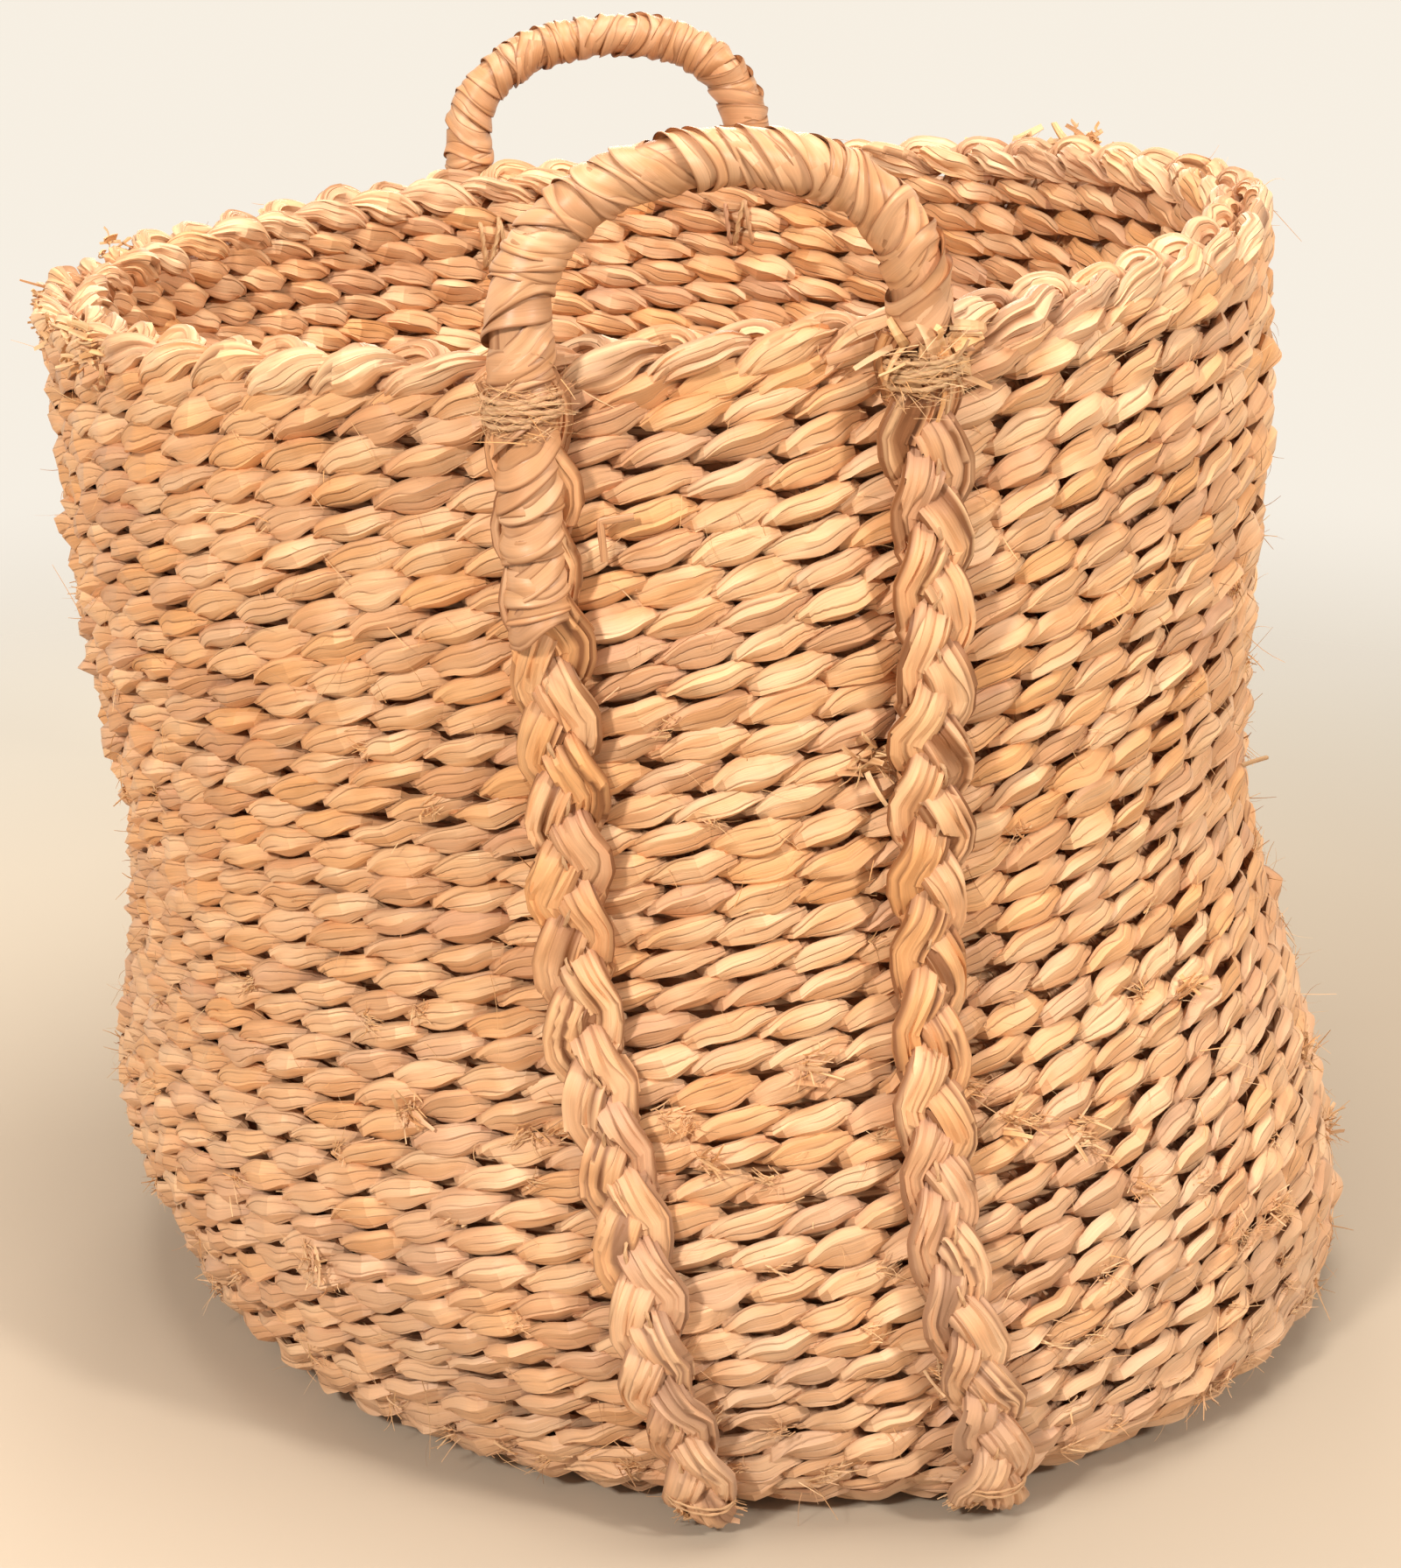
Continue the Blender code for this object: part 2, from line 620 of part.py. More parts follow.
def handle(name, left_facet, right_facet, rise):
    """One handle: its arch, its two legs down the wall and what holds them."""
    arch(name, left_facet, right_facet, rise)
    wrapped_leg(name + "_left_leg_wrap", name + "_left_leg_core", left_facet)
    tops = {"left": WRAP_END_WALK - FIT_GAP, "right": LEG_TOP_WALK}
    low = LEG_END_WALK + BINDING_ABOVE_LEG_END + BINDING_HEIGHT
    for side, facet in (("left", left_facet), ("right", right_facet)):
        braid_leg(name + "_" + side + "_leg_braid", facet, tops[side], LEG_TOP_DEPTH)
        rim_lashing(name + "_" + side + "_rim_lashing", facet, LEG_TOP_DEPTH)
        inside_tie(name + "_" + side + "_inside_tie", facet)
        leg_twine(name + "_" + side + "_leg_twine", facet, low, tops[side])
        foot_binding(name + "_" + side + "_foot_binding", facet)
        frayed_tuft(name + "_" + side + "_frayed_tuft", facet)


def main():
    for thing in list(bpy.data.objects):
        bpy.data.objects.remove(thing, do_unlink=True)
    heel_level = BASE_COURSES
    wall_level = BASE_COURSES + HEEL_COURSES
    coil_piece("coil_base", FIRST_LEVEL_SHARE, heel_level, HUSK)
    coil_piece("coil_heel", turn_after(heel_level), wall_level, HUSK)
    coil_piece("coil_wall", turn_after(wall_level), TOP_LEVEL - LAST_LEVEL_SHARE, HUSK)
    rim_course()
    handle("front_handle", FRONT_LEFT_FACET, FRONT_RIGHT_FACET, FRONT_ARCH_RISE)
    handle("back_handle", BACK_RIGHT_FACET, BACK_LEFT_FACET, BACK_ARCH_RISE)
    print("courses: base", BASE_COURSES, "heel", HEEL_COURSES, "wall", WALL_COURSES)


main()
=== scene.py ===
import math
import random

import bpy
from mathutils import Matrix, Vector


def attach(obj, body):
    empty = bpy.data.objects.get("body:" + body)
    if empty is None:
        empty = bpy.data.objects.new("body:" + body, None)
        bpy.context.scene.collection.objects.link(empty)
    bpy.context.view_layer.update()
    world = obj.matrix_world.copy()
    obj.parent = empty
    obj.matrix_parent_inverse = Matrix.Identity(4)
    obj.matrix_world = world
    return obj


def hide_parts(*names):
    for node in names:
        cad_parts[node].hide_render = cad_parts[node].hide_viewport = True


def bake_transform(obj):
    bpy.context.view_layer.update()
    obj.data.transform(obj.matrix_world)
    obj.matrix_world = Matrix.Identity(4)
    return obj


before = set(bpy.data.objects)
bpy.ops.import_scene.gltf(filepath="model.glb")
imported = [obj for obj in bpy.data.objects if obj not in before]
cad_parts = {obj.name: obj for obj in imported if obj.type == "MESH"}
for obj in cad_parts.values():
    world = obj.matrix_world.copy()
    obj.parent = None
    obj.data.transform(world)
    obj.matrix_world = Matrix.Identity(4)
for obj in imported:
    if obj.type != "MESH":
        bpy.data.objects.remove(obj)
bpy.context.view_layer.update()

bl_info = {
    "name": "Corn husk laundry basket",
    "version": (1, 0, 0),
    "blender": (4, 5, 0),
    "location": "3D View > Sidebar > Basket",
    "description": "Braids, wraps and ties a husk basket around its solid model",
    "category": "Object",
}

# Sizes of the solid model, in metres
BODY_HEIGHT = 0.444
RIM_HALF_WIDTH = 0.240
WALL_THICKNESS = 0.023
BRAID_THICKNESS = 0.0116
RIM_BRAID_THICKNESS = 0.0150
RIM_BRAID_WIDTH = 0.0250
HEEL_RADIUS = 0.034
BASE_LEAN = 0.0526
RIM_SET_FORWARD = 0.026
RIM_TILT = 0.0211
HEIGHT_SHARES = (0.0, 0.08, 0.20, 0.35, 0.50, 0.65, 0.80, 1.0)
WIDTH_SHARES = (1.035, 1.060, 1.079, 1.018, 0.973, 0.990, 1.006, 1.0)
LEAN_SHARES = (1.0, 0.93, 0.64, 0.49, 0.30, 0.18, 0.12, 0.0)
BASE_DEPTH_SHARE = 1.078
RIM_DEPTH_SHARE = 0.993
SHIFT_X = -0.03172
SHIFT_Y = 0.00438
FACETS = 24
ARCH_FOOT_RADIUS = 0.0105
ARCH_TOP_RADIUS = 0.0090
FRONT_ARCH_RISE = 0.051
BACK_ARCH_RISE = 0.046
HINGE_ABOVE_RIM = 0.006
HINGE_GAP = 0.0003
SEAT_GAP = 0.0004
ARCH_SQUARENESS = 2.2
LEG_DEPTH = 0.0110
LEG_TOP_DEPTH = 0.0180
LEG_END_ANGLE = math.radians(60.0)
WRAPPED_LEG_LENGTH = 0.085
FRONT_LEFT_FACET = -8
FRONT_RIGHT_FACET = -6
BACK_LEFT_FACET = 4
BACK_RIGHT_FACET = 6
DRIFT_SHARES = (0.0, 0.2, 0.35, 0.5, 0.6, 0.7, 0.8, 1.0)
FIRST_LEG_DRIFT = (0.0, 0.0, 0.0035, 0.0005, 0.0015, 0.0080, 0.0125, 0.0135)
SECOND_LEG_DRIFT = (0.0, 0.0025, 0.0030, 0.0005, -0.0065, -0.0125, -0.0135, -0.0135)
LEG_DRIFTS = {
    FRONT_LEFT_FACET: FIRST_LEG_DRIFT,
    FRONT_RIGHT_FACET: SECOND_LEG_DRIFT,
    BACK_LEFT_FACET: FIRST_LEG_DRIFT,
    BACK_RIGHT_FACET: SECOND_LEG_DRIFT,
}

UP = Vector((0.0, 0.0, 1.0))
FULL_TURN = 2.0 * math.pi
FACET = FULL_TURN / FACETS

# How far each turn of a strand may differ from the next, as shares of its own size
UNEVEN_TURN = 0.3
UNEVEN_REACH = 0.12
UNEVEN_CREST = 0.45
UNEVEN_WIDTH = 0.2
UNEVEN_DEPTH = 0.3
UNEVEN_RISE = 0.0010
LOBES_PER_STRAND = 5000.0

# Where a strand bends at the braid's edge, and how sharply
KINK_START = 0.35
KINK_BACK_SHARE = 0.25
CORNER_POINT = 0.985
CORNER_SLOPE = 0.64
DIVE_OVERTONE = 0.25
FLAT_INSIDE_POWER = 6.0

# Folds and ridges along a strand, and the painted shade in the grooves of its pleats
RIDGES_PER_METRE = 40.0
PLEAT_TWIST = 0.12
PLEAT_SWAY = 0.45
# Painted shade: where in each pleat the groove shade starts and is full, and how dark it is
GROOVE_SHADE_START = 0.50
GROOVE_SHADE_FULL = 0.90
RELIEF_DEPTH = 0.0009
LINE_DARKNESS = 0.8
GROOVE_SHADE_DARKNESS = 0.85
BRAID_CREASE_ANGLE = 0.35
STRIP_CREASE_ANGLE = 0.9

# The braids: settings that differ from the braid tree's own
COIL_BRAID = {"Sides": 6, "Seed": 11}
RIM_BRAID = {
    "Swing": 0.0092, "Dive": -0.0038, "Half width": 0.0072, "Half thickness": 0.0038,
    "Narrowing": 0.58, "Fullness": 2.1, "Unevenness": 1.2, "Waver": 0.0012, "Peak": 1.1,
    "Pleats": 0.26, "Pleat count": 6.0, "Groove shade": 1.0, "Ridges": 0.9,
    "Ring spacing": 0.0019, "Sides": 21, "Seed": 31, "Start": 0.013,
}
LEG_BRAID = {
    "Swing": 0.0084, "Dive": -0.0034, "Lag": 0.0, "Fullness": 1.25, "Kink": 0.0,
    "Half width": 0.0080, "Half thickness": 0.0040, "Turn": 0.0, "Facing": 1.0,
    "Sharp corners": 0.9, "Narrowing": -0.05, "Pleats": 0.30, "Pleat count": 6.0,
    "Groove shade": 2.0, "Ridges": 0.6, "Peak": 0.8, "Waver": 0.0015, "Lobes": 2.0,
    "Lobe shift": -0.25, "Ring spacing": 0.0018, "Sides": 36,
}

# Seeds of the random draws
SEWING_SEED = 5
LONG_STRIP_SEED = 7
WRAP_SEEDS = {"front": 41, "back": 53}
LEG_SEED = 61
TIE_SEED = 101
LEG_END_SEED = 201
HAIR_SEED = 301
KNOT_SEED = 302
FUZZ_SEED = 303
TEAR_SEED = 401

# The twine between the courses
SEWING_TWINE = {"Ply depth": 0.0, "Waver": 0.0012, "Ring spacing": 0.006, "Sides": 6}

# The handles' wraps
WRAP_RADIUS = 0.0103
WRAP_CORE_RADIUS = 0.0096
WRAP_CORE = {"Ply depth": 0.0, "Sides": 20, "Ring spacing": 0.003}
WRAP_RIBBON = {
    "Half thickness": 0.0005, "Ply depth": 0.0, "Crumple": 0.0011, "Waver": 0.0002,
    "Tone length": FULL_TURN * WRAP_RADIUS, "Sides": 20, "Ring spacing": 0.0013,
}
WRAP_HALF_WIDTH = 0.0060
WRAP_SLANT = -0.35
WRAP_DISORDER = 0.55
WRAP_LEAN = 0.20
WRAP_STEPS_PER_TURN = 60
WRAP_TOP_GAP = 0.004
WRAPPED_LEG_FULLNESS = 0.95
WRAP_TAIL = ((0.006, 1.0), (0.011, 0.8))
BEND_REACH = 0.012

# The ties
LASHING_DROP = 0.011
LASHING_HEIGHT = 0.0085
LASHING_TURNS = 4.3
BINDING_RISE = 0.007
BINDING_HEIGHT = 0.0050
BINDING_TURNS = 2.2
BINDING_RADIUS = 0.0005
LOOP_HALF_WIDTH = 0.0128
LOOP_POINTS = 28
LOOP_TILT = 0.0012
LOOP_WAVER = 0.0005
LOOP_CLEARANCE = 0.0018
TIE_ROOM = 0.001
LEG_TWINE_RADIUS = 0.0007
LEG_TWINE_START = 0.011
LEG_TWINE_TOP_GAP = 0.018
STITCH_SPACING = 0.0035
STITCH_WAVE = 0.021
STITCH_SINK = 0.0016
STITCH_LIFT = 0.0026
STITCH_SWAY = 0.0020
STITCH_DRIFT = 0.0012
INSIDE_STITCHES = ((-0.0052, 0.10), (-0.0008, -0.32), (0.0046, 0.06))
INSIDE_STITCH_HEIGHT = 0.024
INSIDE_STITCH_POINTS = 12
INSIDE_STITCH_SINK = 0.0045
INSIDE_STITCH_RADIUS = 0.0010

# Long strips on the wall: (name, points as walk, degrees and lift, lift of all, half width)
LONG_STRIPS = (
    ("rim_strip", ((0.680, -82.5, 0.003), (0.676, -86.0, 0.001), (0.673, -89.5, 0.0005)),
     0.0014, 0.0021),
    ("bent_strip", ((0.613, -107.5, 0.0), (0.627, -107.6, 0.001), (0.628, -105.0, 0.0005)),
     0.0012, 0.0013),
    ("wall_stalk", ((0.466, -26.5, -0.003), (0.466, -25.4, 0.0015), (0.466, -24.4, 0.0070)),
     0.0, 0.0010),
)
# Torn ends along the rim: (bunches, from and to degrees, drop, length, width, lean, rise)
RIM_TEARS = (
    (40, -215.0, -150.0, 0.014, 0.009, 0.0018, 1.4, 0.35),
    (16, 20.0, 42.0, 0.010, 0.010, 0.0026, 1.2, 0.4),
)
STRIP_HALF_THICKNESS = 0.00045
STRIP_STEPS = 6

# Torn ends that the photo shows on the wall, as (walk up the wall, degrees round it)
TORN_SPOTS = (
    (0.384, -71.0), (0.394, -77.5), (0.416, -54.5), (0.356, -66.0), (0.356, -32.0),
    (0.424, -94.5), (0.400, -130.0), (0.392, -104.5), (0.320, -48.0), (0.310, -88.0),
    (0.330, -140.0), (0.300, -20.0),
)

# Torn ends at each of those spots: (count, length, width, lean, rise)
TORN_BUNCHES = ((20, 0.009, 0.0006, 0.5, 1.0), (5, 0.011, 0.0016, 0.7, 0.6))
# The largest splice: (walk, degrees, count, length, width, lean, rise)
LARGE_SPLICE = (
    (0.534, -86.8, 16, 0.013, 0.0019, -0.6, 0.5),
    (0.534, -85.6, 26, 0.008, 0.0006, 0.4, 1.2),
)

# Loose ends of the legs, hairs, brushes of torn husk, strips and fuzz
ENDS_PER_LEG = 520
FOOT_LIFT = 0.0009
FOOT_BACK = 0.024
FOOT_DEPTH = 0.014
FOOT_HALF_WIDTH = 0.0090
END_HALF_WIDTH = 0.0085
STRIP_SHARE = 0.25
STRIP_GIRTH = (0.0016, 0.0030)
FIBRE_GIRTH = (0.00015, 0.0005)
HAIR_LENGTH = (0.004, 0.013)
HAIR_GIRTH = (0.00012, 0.00032)
HAIR_SINK = 0.0022
HAIR_START = 0.030
# How often a hair is kept: anywhere, more of them low down, and more on the right
HAIR_CHANCES = (0.18, 0.5, 0.32)
LONG_HAIR_SHARE = 0.15
LONG_HAIR = 1.6
KNOT_FIBRES = (10, 22)
KNOT_LENGTH = (0.004, 0.010)
KNOT_GIRTH = (0.0002, 0.0006)
KNOT_SINK = 0.0030
KNOT_SPREAD = 0.0018
KNOT_DROP = 0.015
KNOT_REACH = 0.30
KNOT_CROWDING = 2.2
SPLAYED_PER_LEG = 26
SPLAYED_LENGTH = (0.010, 0.020)
SPLAYED_GIRTH = (0.0010, 0.0036)
SIDEWAYS_LENGTH = (0.008, 0.018)
SIDEWAYS_GIRTH = (0.0016, 0.0042)
SPLAYED_REACH = 0.0090
SIDEWAYS_REACH = 0.0085
FUZZ_PER_LEG = 190
FUZZ_SPREAD = 0.0045
FUZZ_HALF_WIDTH = 0.0115
FUZZ_HALF_DEPTH = 0.0105
FUZZ_LENGTH = (0.005, 0.014)
FUZZ_GIRTH = (0.00012, 0.00035)

# The stage: lamps as (name, place, watts, width)
AMBIENT_COLOUR = (1.0, 0.94, 0.86)
AMBIENT_LEVEL = 0.36
FLOOR_RADIUS = 3.0
FLOOR_SIDES = 96
# Floor colour by place, each as (from, to, value there, value there)
# Painted light: the floor is lighter towards the back, blending into the backdrop's colour where
# the lamps reach it less
FLOOR_BLEND = (0.15, 0.75, 0.0, 1.0)
FLOOR_DIM = (0.6, 1.3, 1.0, 0.75)
# Painted light: the floor is lighter towards the left, where it gets less light from the lamps and
# from bounces
FLOOR_LIT_SIDE = (-0.60, 0.0, 1.34, 1.0)
FLOOR_FADE = (0.45, 1.60, 1.0, 0.0)
PAPER_ROUGHNESS = 0.9
PAPER_SHINE = 0.1
HUSK_SHINE = 0.4
LAMPS = (
    ("left lamp", (-1.55, -1.70, 1.60), 50.0, 0.28),
    ("right lamp", (1.25, -1.85, 1.60), 37.0, 0.28),
    ("top lamp", (0.0, -0.3, 2.2), 40.0, 1.2),
    ("back lamp", (0.5, 2.0, 1.3), 14.0, 0.8),
)
LAMP_COLOUR = (1.0, 0.93, 0.84)
LAMP_TARGET = Vector((0.0, 0.0, 0.25))
CAMERA_PLACE = Vector((-0.2969, -1.1956, 0.6078))
CAMERA_TARGET = Vector((-0.0049, 0.0044, 0.2035))
CAMERA_ROLL = 0.0058
CAMERA_LENS = 78.05
CAMERA_SENSOR = 36.0
CAMERA_REACH = 50.0


def smooth_through(places, values, place):
    """Value at a place on a smooth curve through given points."""
    place = min(max(place, places[0]), places[-1])
    last = len(places) - 1
    k = next(i for i in range(last) if place <= places[i + 1])

    def slope(i):
        low = max(i - 1, 0)
        high = min(i + 1, last)
        return (values[high] - values[low]) / (places[high] - places[low])

    span = places[k + 1] - places[k]
    u = (place - places[k]) / span
    u2 = u * u
    u3 = u2 * u
    start = values[k] * (2.0 * u3 - 3.0 * u2 + 1.0)
    end = values[k + 1] * (3.0 * u2 - 2.0 * u3)
    slopes = slope(k) * (u3 - 2.0 * u2 + u) + slope(k + 1) * (u3 - u2)
    return start + end + span * slopes


def half_width(height):
    return RIM_HALF_WIDTH * smooth_through(HEIGHT_SHARES, WIDTH_SHARES, height / BODY_HEIGHT)


def lean(height):
    return BASE_LEAN * smooth_through(HEIGHT_SHARES, LEAN_SHARES, height / BODY_HEIGHT)


def depth_share(height):
    return BASE_DEPTH_SHARE + (RIM_DEPTH_SHARE - BASE_DEPTH_SHARE) * height / BODY_HEIGHT


FLAT_REACH = half_width(HEEL_RADIUS) - HEEL_RADIUS
HEEL_LENGTH = HEEL_RADIUS * 0.5 * math.pi
WALL_START = FLAT_REACH + HEEL_LENGTH
WALL_LENGTH = BODY_HEIGHT - RIM_BRAID_THICKNESS - HEEL_RADIUS
BASE_COURSES = round(FLAT_REACH / BRAID_THICKNESS)
HEEL_COURSES = round(HEEL_LENGTH / BRAID_THICKNESS)
WALL_COURSES = round(WALL_LENGTH / BRAID_THICKNESS)
WALL_LEVEL = BASE_COURSES + HEEL_COURSES
TOP_LEVEL = WALL_LEVEL + WALL_COURSES
RIM_WALK = WALL_START + BODY_HEIGHT - HEEL_RADIUS
LEG_TOP_WALK = RIM_WALK + HINGE_ABOVE_RIM - ARCH_FOOT_RADIUS - HINGE_GAP
LEG_END_WALK = FLAT_REACH + HEEL_RADIUS * LEG_END_ANGLE
WRAP_END_WALK = LEG_TOP_WALK - WRAPPED_LEG_LENGTH


def walk_of_level(level):
    """Distance along the outline, from the base's centre, of a course's lower edge."""
    if level <= BASE_COURSES:
        return FLAT_REACH * level / BASE_COURSES
    above = level - BASE_COURSES
    if above <= HEEL_COURSES:
        return FLAT_REACH + HEEL_LENGTH * above / HEEL_COURSES
    return WALL_START + WALL_LENGTH * (above - HEEL_COURSES) / WALL_COURSES


def outer_point(walk, azimuth):
    """Point of the body's outer surface."""
    if walk <= FLAT_REACH:
        reach, height = walk, 0.0
    elif walk <= WALL_START:
        angle = (walk - FLAT_REACH) / HEEL_RADIUS
        reach = FLAT_REACH + HEEL_RADIUS * math.sin(angle)
        height = HEEL_RADIUS * (1.0 - math.cos(angle))
    else:
        height = HEEL_RADIUS + walk - WALL_START
        reach = half_width(height)
    share = height / BODY_HEIGHT
    x = SHIFT_X + lean(height) + reach * math.cos(azimuth)
    y = SHIFT_Y - RIM_SET_FORWARD * share + reach * depth_share(height) * math.sin(azimuth)
    z = height + RIM_TILT * share * math.cos(azimuth)
    return Vector((x, y, z))


def surface_frame(walk, azimuth):
    """Outer point with its directions: along the course, outwards and up the outline."""
    step = 0.1 * BRAID_THICKNESS
    turn = math.radians(0.5)
    along = (outer_point(walk, azimuth + turn) - outer_point(walk, azimuth - turn)).normalized()
    climb = outer_point(walk + step, azimuth) - outer_point(walk - step, azimuth)
    out = along.cross(climb).normalized()
    return outer_point(walk, azimuth), along, out, out.cross(along).normalized()


def turned(first, second, angle):
    """A direction turned by an angle from the first towards the second."""
    return first * math.cos(angle) + second * math.sin(angle)


# Node trees
class Term:
    """A value in a node tree. Arithmetic on it adds the nodes that work it out."""

    def __init__(self, tree, socket):
        self.tree = tree
        self.socket = socket
        self.is_vector = socket.type in {"VECTOR", "RGBA"}

    def math(self, operation, *others):
        return join_math(self.tree, operation, self, *others)

    def vector(self, operation, *others):
        return join_vectors(self.tree, operation, self, *others)

    def __add__(self, other):
        return self.vector("ADD", other) if self.is_vector else self.math("ADD", other)

    __radd__ = __add__

    def __sub__(self, other):
        return self.vector("SUBTRACT", other) if self.is_vector else self.math("SUBTRACT", other)

    def __rsub__(self, other):
        return join_math(self.tree, "SUBTRACT", other, self)

    def __mul__(self, other):
        if not self.is_vector:
            return self.math("MULTIPLY", other)
        node = add_node(self.tree, "ShaderNodeVectorMath", {0: self, "Scale": other},
                        operation="SCALE")
        return Term(self.tree, node.outputs[0])

    __rmul__ = __mul__

    def __truediv__(self, other):
        return self.math("DIVIDE", other)

    def sin(self):
        return self.math("SINE")

    def cos(self):
        return self.math("COSINE")

    def floor(self):
        return self.math("FLOOR")

    def fraction(self):
        return self.math("FRACT")

    def size(self):
        return self.math("ABSOLUTE")

    def sign(self):
        return self.math("SIGN")

    def power(self, exponent):
        return self.math("POWER", exponent)

    def cross(self, other):
        return self.vector("CROSS_PRODUCT", other)

    def dot(self, other):
        node = add_node(self.tree, "ShaderNodeVectorMath", {0: self, 1: other},
                        operation="DOT_PRODUCT")
        return Term(self.tree, node.outputs["Value"])

    def unit(self):
        return self.vector("NORMALIZE")

    def part(self, axis):
        node = add_node(self.tree, "ShaderNodeSeparateXYZ", {0: self})
        return Term(self.tree, node.outputs[axis])

    def between(self, low, high, start=0.0, end=1.0, kind="LINEAR"):
        """Carry the range low to high over to start to end, and stop there."""
        node = add_node(self.tree, "ShaderNodeMapRange", {
            "Value": self, "From Min": low, "From Max": high, "To Min": start, "To Max": end},
            interpolation_type=kind)
        return Term(self.tree, node.outputs["Result"])


def plug(tree, value, socket):
    """Feed a socket with a term, another socket or a plain value."""
    if isinstance(value, Term):
        tree.links.new(value.socket, socket)
    elif isinstance(value, bpy.types.NodeSocket):
        tree.links.new(value, socket)
    else:
        socket.default_value = value


def join_values(tree, kind, values, **settings):
    """A node of a kind with its first inputs fed in order."""
    node = add_node(tree, kind, **settings)
    for value, socket in zip(values, node.inputs):
        plug(tree, value, socket)
    return Term(tree, node.outputs[0])


def join_math(tree, operation, *values):
    return join_values(tree, "ShaderNodeMath", values, operation=operation)


def join_vectors(tree, operation, *values):
    return join_values(tree, "ShaderNodeVectorMath", values, operation=operation)


def three(tree, x, y, z):
    """A vector from its three parts."""
    return join_values(tree, "ShaderNodeCombineXYZ", (x, y, z))


def add_node(tree, kind, inputs=None, **settings):
    """Add a node with its settings and feed its inputs, by name or by place."""
    node = tree.nodes.new(kind)
    for name, value in settings.items():
        setattr(node, name, value)
    for key, value in (inputs or {}).items():
        plug(tree, value, node.inputs[key])
    return node


def noise(tree, place, scale, detail=1.0, rough=0.5, colour=False):
    """Smooth noise at a place, from about 0 to 1, or as three numbers."""
    node = add_node(tree, "ShaderNodeTexNoise", {
        "Vector": place, "Scale": scale, "Detail": detail, "Roughness": rough},
        noise_dimensions="3D", normalize=True)
    return Term(tree, node.outputs["Color" if colour else "Fac"])


def named_value(tree, name, kind="FLOAT"):
    """A value stored on the geometry."""
    node = add_node(tree, "GeometryNodeInputNamedAttribute", {"Name": name}, data_type=kind)
    return Term(tree, node.outputs["Attribute"])


def dice(tree, which, seed, low=-1.0, high=1.0):
    """A fixed random number for each whole number."""
    node = add_node(tree, "FunctionNodeRandomValue", data_type="FLOAT")
    for name, value in (("Min_001", low), ("Max_001", high)):
        next(s for s in node.inputs if s.identifier == name).default_value = value
    plug(tree, which, node.inputs["ID"])
    plug(tree, seed, node.inputs["Seed"])
    return Term(tree, next(s for s in node.outputs if s.enabled))


SOCKET_KINDS = {int: "NodeSocketInt", float: "NodeSocketFloat", tuple: "NodeSocketColor"}


def add_inputs(tree, defaults):
    """Named inputs of a tree, each of the kind that its default value is."""
    for name, default in defaults.items():
        socket = tree.interface.new_socket(name, in_out="INPUT",
                                           socket_type=SOCKET_KINDS[type(default)])
        socket.default_value = default


def new_tree(name, defaults):
    """A Geometry Nodes tree with named inputs and one output for its geometry."""
    tree = bpy.data.node_groups.new(name, "GeometryNodeTree")
    tree.interface.new_socket("Geometry", in_out="OUTPUT", socket_type="NodeSocketGeometry")
    tree.interface.new_socket("Geometry", in_out="INPUT", socket_type="NodeSocketGeometry")
    tree.interface.new_socket("Material", in_out="INPUT", socket_type="NodeSocketMaterial")
    add_inputs(tree, defaults)
    entry = tree.nodes.new("NodeGroupInput")

    def given(socket_name):
        return Term(tree, entry.outputs[socket_name])

    return tree, given


def close_tree(tree, geometry, material):
    """Make the result real geometry with its material."""
    real = add_node(tree, "GeometryNodeRealizeInstances", {"Geometry": geometry})
    dressed = add_node(tree, "GeometryNodeSetMaterial",
                       {"Geometry": real.outputs[0], "Material": material})
    leave = tree.nodes.new("NodeGroupOutput")
    tree.links.new(dressed.outputs[0], leave.inputs[0])


def run_tree(name, mesh, tree, settings):
    """Run a tree over a mesh and keep the result as a plain mesh object."""
    piece = bpy.data.objects.new(name, mesh)
    bpy.context.collection.objects.link(piece)
    modifier = piece.modifiers.new(tree.name, "NODES")
    modifier.node_group = tree
    identifiers = {item.name: item.identifier for item in tree.interface.items_tree
                   if item.item_type == "SOCKET" and item.in_out == "INPUT"}
    for key, value in settings.items():
        modifier[identifiers[key]] = value
    graph = bpy.context.evaluated_depsgraph_get()
    result = bpy.data.meshes.new_from_object(
        piece.evaluated_get(graph), preserve_all_data_layers=True, depsgraph=graph)
    result.name = name
    piece.modifiers.clear()
    piece.data = result
    if not result.polygons:
        raise RuntimeError(name + " came out empty")
    return piece


def mesh_with(places, edges, values):
    """A mesh of points that carries some named values."""
    mesh = bpy.data.meshes.new("points")
    mesh.from_pydata(places, edges, [])
    for name, column in values.items():
        if isinstance(column[0], Vector):
            layer = mesh.attributes.new(name, "FLOAT_VECTOR", "POINT")
            layer.data.foreach_set("vector", [part for value in column for part in value])
        else:
            layer = mesh.attributes.new(name, "FLOAT", "POINT")
            layer.data.foreach_set("value", column)
    return mesh


def path_mesh(points):
    """A chain of points with the directions and fullness of what follows it."""
    places, out, up, fullness = zip(*points)
    edges = [(k, k + 1) for k in range(len(places) - 1)]
    return mesh_with(places, edges, {"out": out, "up": up, "fullness": fullness})


def path_length(points):
    return sum((b[0] - a[0]).length for a, b in zip(points, points[1:]))


def sample_path(tree, curve, share):
    """Where a path is at a share of its length, with its directions and fullness."""
    found = []
    for name, kind in (("out", "FLOAT_VECTOR"), ("up", "FLOAT_VECTOR"), ("fullness", "FLOAT")):
        node = add_node(tree, "GeometryNodeSampleCurve", mode="FACTOR", data_type=kind)
        plug(tree, curve, node.inputs["Curves"])
        plug(tree, named_value(tree, name, kind), node.inputs["Value"])
        plug(tree, share, node.inputs["Factor"])
        found.append(Term(tree, node.outputs["Value"]))
    place = Term(tree, node.outputs["Position"])
    tangent = Term(tree, node.outputs["Tangent"])
    out, up, fullness = found
    return place, tangent, out.unit(), up.unit(), fullness


